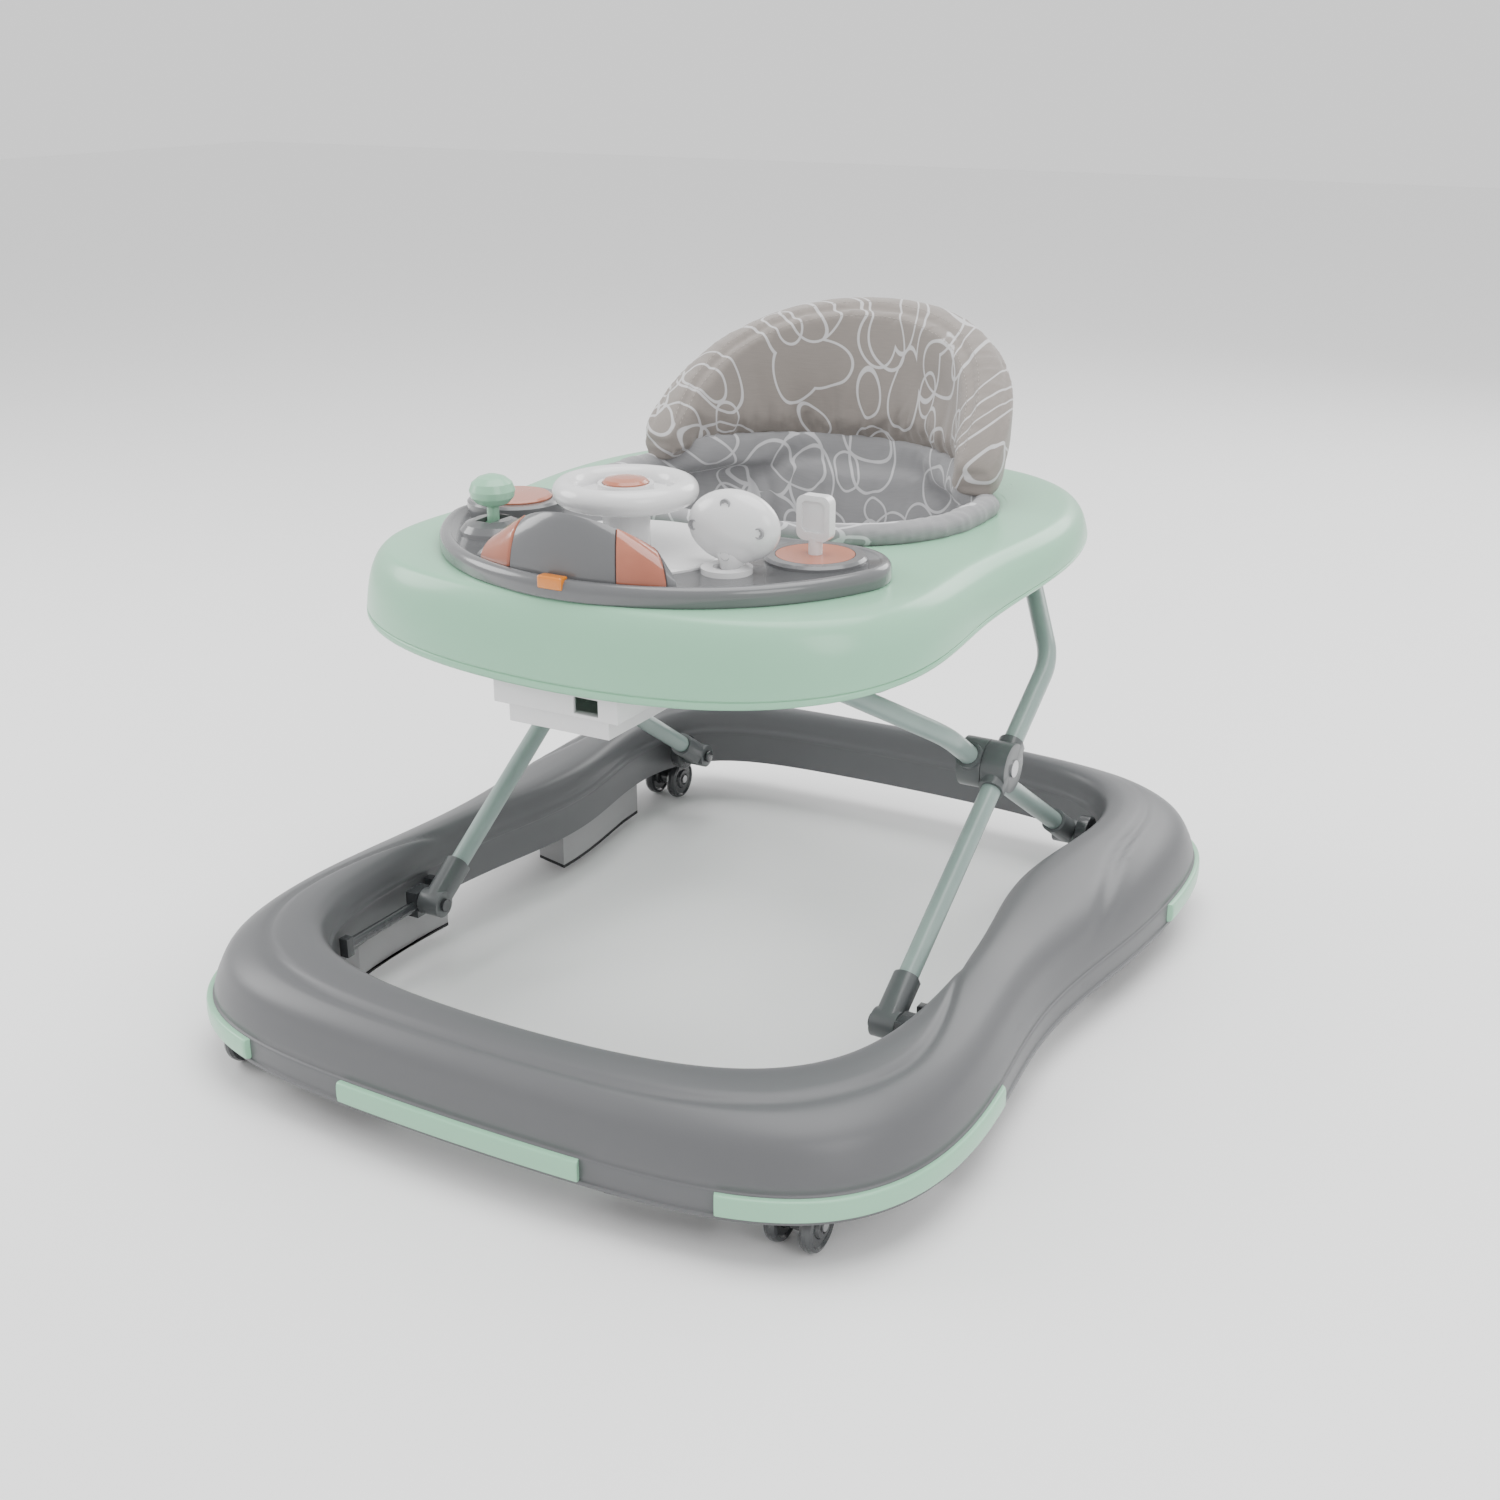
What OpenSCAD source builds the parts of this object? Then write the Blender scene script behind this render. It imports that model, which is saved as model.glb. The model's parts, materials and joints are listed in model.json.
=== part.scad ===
// Folding baby walker: a ring base on four twin-wheel casters, a scissor of
// two steel tube frames, and a play tray with a padded seat.
// Millimetres. +X is the walker's left-hand side, -Y its front, +Z up, and the
// wheels stand on z = 0 under the middle of the base.

/* [Base ring] */
// Width of the base over its bumper strips
base_w = 650; // [560:5:720]
// Length of the base over its bumper strips
base_l = 770; // [680:5:860]
// Width of the opening in the middle of the base
opening_w = 490; // [420:5:500]
// Distance from the middle to the front of the opening
opening_front = 320; // [280:5:330]
// Distance from the middle to the rear of the opening
opening_rear = 336; // [290:5:345]
// Height of the base ring's crown above the floor
crown_z = 105; // [96:1:120]
// Height of the outer skirt's bottom edge above the floor
skirt_z = 34; // [32:1:40]
// Wall thickness of the moulded shells
wall = 3; // [2:0.5:4]

/* [Bumpers and brake pads] */
// Thickness of the soft bumper strips
bumper_t = 5; // [3:0.5:7]
// Height of the bumper strips
bumper_h = 19; // [12:1:20]
// Clearance under the stair-stop pads
pad_z = 10; // [6:1:14]
// Thickness of the rubber lips under the pads
rubber_t = 3; // [2:0.5:4]

/* [Casters] */
// Diameter of the caster wheels
wheel_d = 40; // [34:1:42]
// Width of one caster wheel
wheel_w = 11; // [8:1:13]
// Gap between the two wheels of a caster
wheel_gap = 15; // [13:1:18]
// Distance from the swivel stem to the wheel axle
trail = 9; // [7:1:11]
// Diameter of the swivel stem
stem_d = 10; // [8:1:12]
// Diameter of the wheel axle
axle_d = 5; // [4:0.5:6]

/* [Legs] */
// Diameter of the steel tubes
tube_d = 16; // [14:0.5:18]
// Wall thickness of the steel tubes
tube_wall = 1.2; // [1:0.1:2]
// Height of the lower pivots
foot_z = 66; // [62:1:70]
// Height of the upper pivots
top_z = 334; // [310:1:345]
// Place of the rear pivots along the walker
rear_y = 269; // [255:1:275]
// Length from the rear pivots to the front ends
reach = 404; // [380:1:410]
// Distance from the middle to the outer tubes
outer_x = 209; // [206:0.5:210]
// Distance from the middle to the inner tubes
inner_x = 188; // [186:0.5:189]

/* [Tray] */
// Width of the tray's rear lobe
tray_w = 492; // [450:2:500]
// Height of the tray's deck
deck_z = 387; // [380:1:392]
// Height of the skirt's bottom edge at the front
tray_low_z = 324; // [318:1:335]
// Width of the seat opening
seat_w = 336; // [316:2:340]
// Length of the seat opening
seat_l = 274; // [250:2:280]

/* [Seat] */
// Height of the seat sling's lowest point
sling_z = 234; // [230:1:250]
// Height of the backrest's top
back_z = 530; // [490:2:560]
// Thickness of the backrest's padding
back_t = 40; // [30:1:44]

/* [Toys] */
// Outer diameter of the steering wheel
steer_d = 104; // [90:1:112]
// Diameter of the horn button
horn_d = 33; // [26:1:36]
// Travel of the spring buttons
button_travel = 2.5; // [1.5:0.5:3]

/* [Fits] */
// Running clearance round a pin, on the radius
run_gap = 0.05; // [0.02:0.01:0.1]
// Clearance between parts that move past each other
free_gap = 0.5; // [0.3:0.1:1]

/* [Hidden] */
$fn = 48;
MESH_FN = 32;

// Colours of the mouldings, tubes and fabrics
MINT = [0.70, 0.83, 0.74];
BASE_GREY = [0.45, 0.46, 0.48];
DARK_GREY = [0.27, 0.28, 0.29];
HOLDER_GREY = [0.70, 0.70, 0.71];
TUBE_GREEN = [0.67, 0.75, 0.74];
CLAMP_GREY = [0.52, 0.54, 0.55];
STEEL = [0.72, 0.73, 0.75];
WHITE = [0.93, 0.93, 0.93];
PEACH = [0.83, 0.58, 0.50];
ORANGE = [0.87, 0.56, 0.18];
HOOD_TAUPE = [0.61, 0.58, 0.56];
LINER_GREY = [0.63, 0.63, 0.63];
BOARD_BROWN = [0.45, 0.38, 0.30];
MIRROR = [0.85, 0.88, 0.90];

// Stations round the closed mouldings
STATIONS = 72;
STEP = 360 / STATIONS;

// ---------- outlines ----------

// Distance from the middle to a superellipse in one direction
function oval_r(a, b, n, t) = pow(pow(abs(cos(t)) / a, n) + pow(abs(sin(t)) / b, n), -1 / n);

// A peanut outline: a superellipse with its own front and rear, bowed ends and a waist
// o = [half width, front, rear, front squareness, rear squareness,
//      front bow, rear bow, waist depth, waist place, waist spread]
function peanut(o, t) =
    let (rear = sin(t) >= 0, b = rear ? o[2] : o[1], n = rear ? o[4] : o[3],
         r = oval_r(o[0], b, n, t), x = r * cos(t), y = r * sin(t),
         bow = (rear ? o[6] : o[5]) * pow(x / o[0], 2) * pow(y / b, 2),
         yb = y - sign(y) * bow,
         pinch = 1 - o[7] / o[0] * exp(-pow((yb - o[8]) / o[9], 2)))
    [x * pinch, yb];

function unit(v) = v / norm(v);

BASE_OUTER = [base_w / 2 - bumper_t, base_l / 2 - bumper_t, base_l / 2 - bumper_t,
    5.2, 6.5, 20, 10, 22, -33, 145];
BASE_INNER = [opening_w / 2, opening_front, opening_rear, 5.2, 6, 38, 16, 25, 90, 115];

// A point of the base ring: u runs from the outer skirt to the opening, off adds millimetres
function base_pt(t, u, off, z) =
    let (o = peanut(BASE_OUTER, t), i = peanut(BASE_INNER, t), p = o + (i - o) * u + unit(i - o) * off)
    [p[0], p[1], z];

// Upper surface of the base ring from the skirt's edge to the opening: [u, off, drop below the crown],
// then how many walls its underside stands in from it and below it
BASE_SKIN = [[0, 2, 47, 1, 1], [0.05, 2, 35, 1, 1], [0.16, 0, 21, 0, 1], [0.32, 0, 12, 0, 1],
    [0.46, 0, 8, 0, 1], [0.50, 0, 10.5, 0, 1], [0.62, 0, 5.5, 0, 1], [0.78, 0, 0, 0, 1],
    [0.90, 0, 1.5, 0, 1], [0.965, 0, 7, -0.5, 0.6], [1, 0, 16, -1, 0.2]];
// Height of the opening's bottom edge
INNER_EDGE_Z = 45;
BUMPER_TOP_Z = skirt_z + bumper_h;

tray_front = 254;
tray_rear = 317;
tray_mid_y = -40;
TRAY_EDGE = [tray_w / 2, tray_front + tray_mid_y, tray_rear - tray_mid_y, 2.9, 3.15, 0, 0, 14.4, 12.4, 121];
SEAT_EDGE = [seat_w / 2, seat_l / 2, seat_l / 2, 2.5, 2.5, 0, 0, 0, 0, 100];
seat_mid_y = 98;

function tray_pt(t, inset, z) =
    let (o = peanut(TRAY_EDGE, t), p = o - unit(o) * inset) [p[0], p[1] + tray_mid_y, z];
function seat_pt(t, inset, z) =
    let (o = peanut(SEAT_EDGE, t), p = o - unit(o) * inset) [p[0], p[1] + seat_mid_y, z];

// ---------- mesh builders ----------

// Skin over a stack of rings that all run counter-clockwise seen from the last ring
module skin(rings, closed = false) {
    n = len(rings[0]);
    m = len(rings);
    spans = closed ? m : m - 1;
    sides = [for (i = [0 : spans - 1], j = [0 : n - 1])
        let (a = i * n + j, b = i * n + (j + 1) % n, d = ((i + 1) % m) * n + j,
             c = ((i + 1) % m) * n + (j + 1) % n) each [[a, d, c], [a, c, b]]];
    caps = closed ? [] : [[for (j = [0 : n - 1]) j], [for (j = [n - 1 : -1 : 0]) (m - 1) * n + j]];
    polyhedron([for (r = rings) each r], concat(sides, caps));
}

module mirrored_x() {
    children();
    mirror([1, 0, 0]) children();
}

// A round bar between two points
module bar(a, b, d) {
    v = b - a;
    translate(a) rotate([0, acos(v[2] / norm(v)), atan2(v[1], v[0])]) cylinder(h = norm(v), d = d);
}

// A cylinder along X, centred on a point
module x_cyl(p, d, h) {
    translate(p) rotate([0, 90, 0]) cylinder(h = h, d = d, center = true);
}

// ---------- base ----------

function base_ring(u, off, z) = [for (k = [0 : STATIONS - 1]) base_pt(k * STEP, u, off, z)];

module base_shell() {
    top = [for (s = BASE_SKIN) base_ring(s[0], s[1], crown_z - s[2])];
    under = [for (k = [len(BASE_SKIN) - 1 : -1 : 0]) let (s = BASE_SKIN[k])
        base_ring(s[0], s[1] + wall * s[3], crown_z - s[2] - wall * s[4])];
    color(BASE_GREY) skin(concat(
        [base_ring(0, 0, skirt_z), base_ring(0, 0, BUMPER_TOP_Z)], top,
        [base_ring(1, 0, INNER_EDGE_Z), base_ring(1, -wall, INNER_EDGE_Z)], under,
        [base_ring(0, wall, BUMPER_TOP_Z), base_ring(0, wall, skirt_z)]), closed = true);
}

// Section of a bumper strip, outwards from the skirt: [distance, height]
BUMPER_SECTION = [[0, 0], [0, 1], [0.55, 1], [0.9, 0.82], [1, 0.5], [0.9, 0.18], [0.55, 0]];

// A point just outside the skirt, straight between two of its stations
function skirt_pt(t, off, z) = let (k = floor(t / STEP), f = t / STEP - k)
    base_pt(k * STEP, 0, off, z) * (1 - f) + base_pt((k + 1) * STEP, 0, off, z) * f;

module bumper(from, to) {
    stations = concat([from], [for (k = [floor(from / STEP) + 1 : ceil(to / STEP) - 1]) k * STEP], [to]);
    color(MINT) skin([for (t = stations)
        [for (s = BUMPER_SECTION) skirt_pt(t, -s[0] * bumper_t, skirt_z + s[1] * bumper_h)]]);
}

// Bumper ends, as angles round the base from its left-hand side
FRONT_CORNER = [-62, -26];
FRONT_MIDDLE = 15;
REAR_CORNER = [31, 60];

// A stair-stop pad hangs from the ring between two angles: [from, to, u of its outer face, u of its inner face]
FRONT_PAD = [-74, -61, 0.45, 0.80];
SIDE_PADS = [[-40, -17, 0.55, 0.93], [17, 43, 0.55, 0.93]];
PAD_TOP_Z = 42;

module pad_block(p, low, high) {
    n = 6;
    rings = [for (z = [low, high]) concat(
        [for (k = [0 : n]) base_pt(p[0] + (p[1] - p[0]) * k / n, p[2], 0, z)],
        [for (k = [n : -1 : 0]) base_pt(p[0] + (p[1] - p[0]) * k / n, p[3], 0, z)])];
    skin(rings);
}

// Ribs that carry a pad from the crown of the ring
module pad_rib(p) {
    t = (p[0] + p[1]) / 2;
    w = 12;
    c = base_pt(t, (p[2] + p[3]) / 2, 0, 0);
    translate([c[0] - w / 2, c[1] - w / 2, PAD_TOP_Z - 1]) cube([w, w, crown_z - 14 - PAD_TOP_Z]);
}

module brake_pad_holders() {
    color(HOLDER_GREY) for (p = concat([FRONT_PAD], SIDE_PADS)) mirrored_x() {
        pad_block(p, pad_z + rubber_t, PAD_TOP_Z);
        pad_rib(p);
    }
}

module brake_pad_rubbers() {
    color(DARK_GREY) for (p = concat([FRONT_PAD], SIDE_PADS)) mirrored_x()
        pad_block(p, pad_z, pad_z + rubber_t);
}

// Places of the swivel stems
front_stem = [237, -312];
rear_stem = [252, 312];
SOCKET_Z = 48;
SOCKET_TOP_Z = 80;
socket_d = stem_d + 14;

module socket_at(p) {
    translate([p[0], p[1], SOCKET_Z]) difference() {
        union() {
            cylinder(h = SOCKET_TOP_Z - SOCKET_Z, d = socket_d);
            translate([0, 0, 14]) cylinder(h = 3, d = socket_d + 12);
        }
        translate([0, 0, -1]) cylinder(h = stem_len + 2, r = stem_d / 2 + run_gap);
    }
}

module caster_sockets() {
    color(DARK_GREY) mirrored_x() {
        socket_at(front_stem);
        socket_at(rear_stem);
    }
}

// Slide rails for the front feet, fixed along the walls of the opening
rail_d = 9;
rail_x = outer_x + 16;
rail_z = foot_z - 4;
front_y = rear_y - reach;
rail_span = [front_y - 93, front_y + 32];

// How far out the wall of the opening stands at one place along the walker
function wall_x(y) = lookup(y, [for (t = [-62 : 2 : 62]) let (p = base_pt(t, 1, 0, 0)) [p[1], p[0]]]);

module slide_rails() {
    block = 8;
    color(DARK_GREY) mirrored_x() {
        translate([rail_x, rail_span[0], rail_z]) rotate([-90, 0, 0])
            cylinder(h = rail_span[1] - rail_span[0], d = rail_d);
        for (y = rail_span) translate([rail_x - 5, y - block / 2, rail_z - block])
            cube([wall_x(y - block / 2) - 2 * free_gap - rail_x + 5, block, 2 * block]);
    }
}

cap_w = tube_d + 4;
rear_cap_w = tube_d + 6;
cap_d = tube_d + 6;
pin_d = 7;

module rear_leg_brackets() {
    boss_d = 34;
    head = 3;
    inner_face = rear_foot_x + rear_cap_w / 2 + free_gap;
    seat = wall_x(rear_y + boss_d / 2) - 2 * free_gap;
    pin_from = rear_foot_x - rear_cap_w / 2 - free_gap;
    color(DARK_GREY) mirrored_x() {
        difference() {
            x_cyl([(inner_face + seat) / 2, rear_y, foot_z], boss_d, seat - inner_face);
            x_cyl([seat, rear_y, foot_z], pin_d, 2 * (seat - pin_from));
        }
        x_cyl([(pin_from + seat) / 2, rear_y, foot_z], pin_d, seat - pin_from);
        x_cyl([pin_from - head / 2, rear_y, foot_z], pin_d + 5, head);
    }
}

// Screws under the ring that hold the sockets, and the crown screws at the corners
module base_screws() {
    color(STEEL) mirrored_x() for (p = [front_stem, rear_stem], s = [-1, 1])
        translate([p[0] + s * (socket_d / 2 + 4), p[1], SOCKET_Z + 9]) {
            cylinder(h = 3, d = 7);
            translate([0, 0, 3]) cylinder(h = 2, d = 3.5);
        }
}

// ---------- casters ----------

stem_len = 26;

// Twin-wheel caster standing under a stem; the wheels sit in front of the stem
module caster_fork(p) {
    axle = [p[0], p[1] - trail, wheel_d / 2];
    web = wheel_gap - 2 * free_gap;
    color(DARK_GREY) difference() {
        union() {
            x_cyl(axle, 17, web);
            translate([p[0] - web / 2, axle[1], axle[2]]) cube([web, trail + 4, SOCKET_Z - 4 - axle[2]]);
            translate([p[0], p[1], SOCKET_Z - 10]) cylinder(h = 10 - free_gap, d = web + 5);
            translate([p[0], p[1], SOCKET_Z - 2]) cylinder(h = stem_len, d = stem_d);
        }
        x_cyl(axle, axle_d + 2 * run_gap, web + 2);
    }
}

module wheel_profile() {
    r = wheel_d / 2;
    w = wheel_w;
    polygon([[axle_d / 2, 1], [5, 1], [6, 0], [9, 0], [10, 2], [r - 5, 2], [r - 3.5, 0.6], [r - 1.2, 1.5], [r, 4],
        [r, w - 4], [r - 1.2, w - 1.5], [r - 3.5, w - 0.6], [r - 5, w - 2], [10, w - 2], [9, w], [6, w], [5, w - 1],
        [axle_d / 2, w - 1]]);
}

module caster_wheels(p) {
    color(DARK_GREY) translate([p[0], p[1] - trail, wheel_d / 2]) for (s = [0, 180]) rotate([0, 0, s])
        translate([wheel_gap / 2, 0, 0]) rotate([0, 90, 0]) rotate_extrude() wheel_profile();
}

module caster_axle(p) {
    span = wheel_gap + 2 * wheel_w;
    color(STEEL) {
        x_cyl([p[0], p[1] - trail, wheel_d / 2], axle_d, span);
        for (s = [-1, 1]) x_cyl([p[0] + s * (span / 2 + 0.2), p[1] - trail, wheel_d / 2], axle_d + 3, 1.6);
    }
}

function flip(p) = [-p[0], p[1]];

// ---------- legs ----------

// A place along a leg, as seen from the side: d runs from the rear pivot to the front end
rise = top_z - foot_z;
function outer_at(x, d) = [x, rear_y - d, top_z - rise * d / reach];
function inner_at(x, d) = [x, rear_y - d, foot_z + rise * d / reach];
bend_d_outer = 108;
bend_d_inner = 265;
cross_y = rear_y - reach / 2;
cross_z = (foot_z + top_z) / 2;
outer_top_x = 138;
inner_top_x = 96;

// Bent tube through a list of corners, with a slightly swollen knuckle at each bend
module tube_run(pts, d) {
    for (k = [0 : len(pts) - 2]) bar(pts[k], pts[k + 1], d);
    for (k = [1 : len(pts) - 2]) translate(pts[k]) sphere(d = d + knuckle);
}

knuckle = 1;

// One half of a frame, from its foot to the middle of its cross tube
function half_frame(foot, bend, top) = [foot, bend, top, [0, top[1], top[2]]];
outer_pts = half_frame(outer_at(outer_x, reach - 12), outer_at(outer_x, bend_d_outer),
    outer_at(outer_top_x, 0));
// The inner tubes stand apart at their feet, and run straight and level above the elbow
elbow_d = 155;
splay = 8;
rear_foot_x = inner_x + splay;
function inner_leg(d) = inner_at(inner_x + splay * max(0, 1 - d / elbow_d), d);
inner_pts = concat([inner_leg(12)], half_frame(inner_leg(elbow_d), inner_at(inner_x, bend_d_inner),
    inner_at(inner_top_x, reach)));

cross_pin_d = 8;

module outer_leg_frame() {
    color(TUBE_GREEN) mirrored_x() difference() {
        tube_run(outer_pts, tube_d);
        bar(outer_at(outer_x, reach - 10), outer_at(outer_x, bend_d_outer + 20), tube_d - 2 * tube_wall);
        x_cyl([outer_x, cross_y, cross_z], cross_pin_d, tube_d + 4);
    }
}

module inner_leg_frame() {
    color(TUBE_GREEN) mirrored_x() difference() {
        tube_run(inner_pts, tube_d);
        bar(inner_leg(8), inner_leg(elbow_d - 10), tube_d - 2 * tube_wall);
        bar(inner_at(inner_x, elbow_d + 10), inner_at(inner_x, bend_d_inner - 20), tube_d - 2 * tube_wall);
        x_cyl([inner_x, cross_y, cross_z], cross_pin_d + 2 * run_gap, tube_d + 4);
    }
}

clamp_d = 40;
// Half the length of its sleeve, measured along the walker
clamp_reach = 20;
clamp_wall = 2;
clamp_parting = (outer_x + inner_x) / 2;
clamp_out = outer_x + tube_d / 2 + clamp_wall;
clamp_in = inner_x - tube_d / 2 - clamp_wall;

// One clamp half: a round block with a sleeve along its tube
module clamp(x, face, back, a, b, hole) {
    difference() {
        union() {
            x_cyl([(face + back) / 2, cross_y, cross_z], clamp_d, abs(back - face));
            intersection() {
                bar(a, b, tube_d + 6);
                x_cyl([(face + back) / 2, cross_y, cross_z], 90, abs(back - face));
            }
        }
        bar(a + (a - b), b + (b - a), tube_d);
        x_cyl([x, cross_y, cross_z], hole, clamp_d);
    }
}

module clamps_outer() {
    color(CLAMP_GREY) mirrored_x() clamp(outer_x, clamp_parting + free_gap / 2, clamp_out,
        outer_at(outer_x, reach / 2 + clamp_reach), outer_at(outer_x, reach / 2 - clamp_reach), cross_pin_d);
}

module clamps_inner() {
    color(CLAMP_GREY) mirrored_x() clamp(inner_x, clamp_parting - free_gap / 2, clamp_in,
        inner_at(inner_x, reach / 2 + clamp_reach), inner_at(inner_x, reach / 2 - clamp_reach),
        cross_pin_d + 2 * run_gap);
}

module cross_pivot_pins() {
    head = 1.5;
    color(STEEL) mirrored_x() {
        x_cyl([(clamp_in - free_gap + clamp_out) / 2, cross_y, cross_z], cross_pin_d, clamp_out - clamp_in + free_gap);
        x_cyl([clamp_out + head / 2, cross_y, cross_z], 14, head);
        x_cyl([clamp_in - free_gap - head / 2, cross_y, cross_z], 14, head);
    }
}

// A foot cap: a sleeve over the tube's end and an eye for the foot pin
module foot_cap(eye, a, width, hole) {
    difference() {
        union() {
            x_cyl(eye, cap_d, width);
            bar(eye, a, cap_d);
        }
        bar(eye + (a - eye) * 12 / norm(a - eye) * norm([reach, rise]) / reach, a + (a - eye), tube_d);
        x_cyl(eye, hole, width + 4);
        for (s = [-1, 1]) translate(eye + [s * (width / 2 + 20), 0, 0]) cube([40, 120, 120], center = true);
    }
}

module front_foot_caps() {
    color(CLAMP_GREY) mirrored_x() foot_cap(outer_at(outer_x, reach), outer_at(outer_x, reach - 34), cap_w, pin_d);
}

module rear_foot_caps() {
    color(CLAMP_GREY) mirrored_x() foot_cap(inner_leg(0), inner_leg(34), rear_cap_w, pin_d + 2 * run_gap);
}

slider_l = 20;

module rail_sliders() {
    face = outer_x + cap_w / 2 + free_gap;
    back = rail_x + 6;
    color(DARK_GREY) mirrored_x() difference() {
        union() {
            translate([face, front_y - slider_l / 2, rail_z - 9]) cube([back - face, slider_l, 22]);
            x_cyl([(face + outer_x - cap_w / 2 - 2) / 2, front_y, foot_z], pin_d - 2 * run_gap,
                face - outer_x + cap_w / 2 + 2);
            x_cyl([outer_x - cap_w / 2 - 2, front_y, foot_z], pin_d + 4, 2);
        }
        translate([rail_x, front_y - slider_l, rail_z]) rotate([-90, 0, 0])
            cylinder(h = 2 * slider_l, r = rail_d / 2 + run_gap);
    }
}

// ---------- tray ----------

// Height of the skirt's bottom edge, which climbs from the front to the rear
tray_lift = 40;
function skirt_low(y) = tray_low_z + tray_lift * pow(max(0, y + tray_front) / (tray_front + tray_rear), 0.55);
// How far the deck stands in from the skirt's bottom edge, least at the front
function shoulder(t) = 24 - 9 * pow(max(0, -sin(t)), 2);
// Curve of the skirt from its bottom edge to the deck: [share of the shoulder, share of the height],
// then how many walls its inside lies below it and in from it
SKIRT_CURVE = [[0, 0, 0, 1], [0, 0.1, 0, 1], [0.05, 0.14, 0, 1], [0.10, 0.38, 0, 1], [0.22, 0.62, 0.25, 1],
    [0.42, 0.82, 0.5, 1], [0.70, 0.95, 0.75, 0.4], [1, 1, 1, 0.4]];

function skirt_ring(s, walls) = [for (k = [0 : STATIONS - 1])
    let (t = k * STEP, low = skirt_low(tray_pt(t, 0, 0)[1]))
    tray_pt(t, s[0] * shoulder(t) + walls * wall * s[3], low + (deck_z - low) * s[1] - walls * wall * s[2])];

module tray_shell() {
    last = len(SKIRT_CURVE) - 1;
    outer = [for (s = SKIRT_CURVE) skirt_ring(s, 0)];
    inner = [for (k = [last : -1 : 0]) skirt_ring(SKIRT_CURVE[k], 1)];
    lip = 4;
    color(MINT) skin(concat(outer,
        [[for (k = [0 : STATIONS - 1]) seat_pt(k * STEP, -7, deck_z)],
         [for (k = [0 : STATIONS - 1]) seat_pt(k * STEP, -2, deck_z + lip - 1)],
         [for (k = [0 : STATIONS - 1]) seat_pt(k * STEP, 0, deck_z + lip)],
         [for (k = [0 : STATIONS - 1]) seat_pt(k * STEP, 2, deck_z + lip - 1)],
         [for (k = [0 : STATIONS - 1]) seat_pt(k * STEP, 2, deck_z - 12)],
         [for (k = [0 : STATIONS - 1]) seat_pt(k * STEP, -1, deck_z - 12)],
         [for (k = [0 : STATIONS - 1]) seat_pt(k * STEP, -1, deck_z - wall)]], inner), closed = true);
}

adj_w = 104;
adj_y = [-244, -112];
// How far its upper part stands back from its nose
neck_in = 22;
// Width of the ears that it is screwed up by
adj_flange = 12;
adj_z = 291;
deck_under = deck_z - wall;

// Housing under the front of the tray; the front cross tube moves along its side slots
module height_adjuster() {
    slot_w = tube_d + 2 * free_gap;
    travel = 73;
    long = adj_y[1] - adj_y[0];
    keel = 14;
    keel_in = 10;
    neck_z = adj_z + 56;
    color(WHITE) difference() {
        union() {
            translate([-adj_w / 2, adj_y[0], adj_z + keel]) cube([adj_w, long, neck_z - adj_z - keel]);
            translate([-adj_w / 2, adj_y[0] + neck_in, adj_z + keel])
                cube([adj_w, long - neck_in, deck_under - adj_z - keel]);
            translate([-adj_w / 2 + keel_in, adj_y[0] + 4, adj_z]) cube([adj_w - 2 * keel_in, long - 8, 30]);
            translate([-adj_w / 2 - adj_flange, adj_y[0] + neck_in, deck_under - wall])
                cube([adj_w + 2 * adj_flange, long - neck_in, wall]);
        }
        translate([-adj_w / 2 + wall, adj_y[0] + wall, adj_z + keel + wall])
            cube([adj_w - 2 * wall, long - 2 * wall, neck_z - adj_z - keel - 2 * wall]);
        translate([-adj_w / 2 + wall, adj_y[0] + neck_in + wall, adj_z + keel + wall])
            cube([adj_w - 2 * wall, long - neck_in - 2 * wall, 200]);
        translate([-adj_w / 2 + keel_in + wall, adj_y[0] + 4 + wall, adj_z + wall])
            cube([adj_w - 2 * keel_in - 2 * wall, long - 8 - 2 * wall, keel + wall]);
        for (y = [front_y, front_y - travel - 1]) x_cyl([0, y, top_z], slot_w, adj_w + 4);
        translate([-adj_w / 2 - 2, front_y - travel - 1, top_z - slot_w / 2])
            cube([adj_w + 4, travel + 1, slot_w]);
        translate([16, adj_y[0] - 1, adj_z + keel + wall]) cube([20, wall + 2, 12]);
        x_cyl([0, latch_pivot[1], latch_pivot[2]], 5 + 2 * run_gap, adj_w + 4);
    }
}

latch_pivot = [0, adj_y[1] + 14, adj_z + 10];

// Squeeze lever behind the housing that drops the height stop into its notch
module adjuster_latch() {
    w = 40;
    color(WHITE) {
        x_cyl(latch_pivot, 5, adj_w - 20);
        x_cyl([latch_pivot[0], latch_pivot[1], latch_pivot[2]], 9, w);
        translate([-w / 2, latch_pivot[1] - 3, latch_pivot[2]]) cube([w, 6, 16]);
        translate([-w / 2, latch_pivot[1] - 3, latch_pivot[2] - 24]) cube([w, 6, 24]);
    }
}

bracket_x = 92;

module rear_tube_brackets() {
    color(CLAMP_GREY) mirrored_x() difference() {
        union() {
            translate([bracket_x - 12, rear_y - 14, top_z]) cube([24, 28, deck_under - top_z]);
            translate([bracket_x - 12, rear_y - 14, deck_under - wall]) cube([38, 28, wall]);
            x_cyl([bracket_x, rear_y, top_z], 28, 24);
        }
        x_cyl([bracket_x, rear_y, top_z], tube_d + 2 * run_gap, 30);
    }
}

module tray_screw(p) {
    translate([p[0], p[1], deck_under - wall - 3]) {
        cylinder(h = 3, d = 7);
        translate([0, 0, -1]) cylinder(h = 1, d = 5);
    }
}

// Self-tapping screws up through the housing's ears and the rear brackets
module tray_screws() {
    color(STEEL) mirrored_x() {
        for (y = [adj_y[0] + neck_in + 10, adj_y[1] - 10]) tray_screw([(adj_w + adj_flange) / 2, y]);
        for (y = [-8, 8]) tray_screw([bracket_x + 19, rear_y + y]);
    }
}

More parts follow.
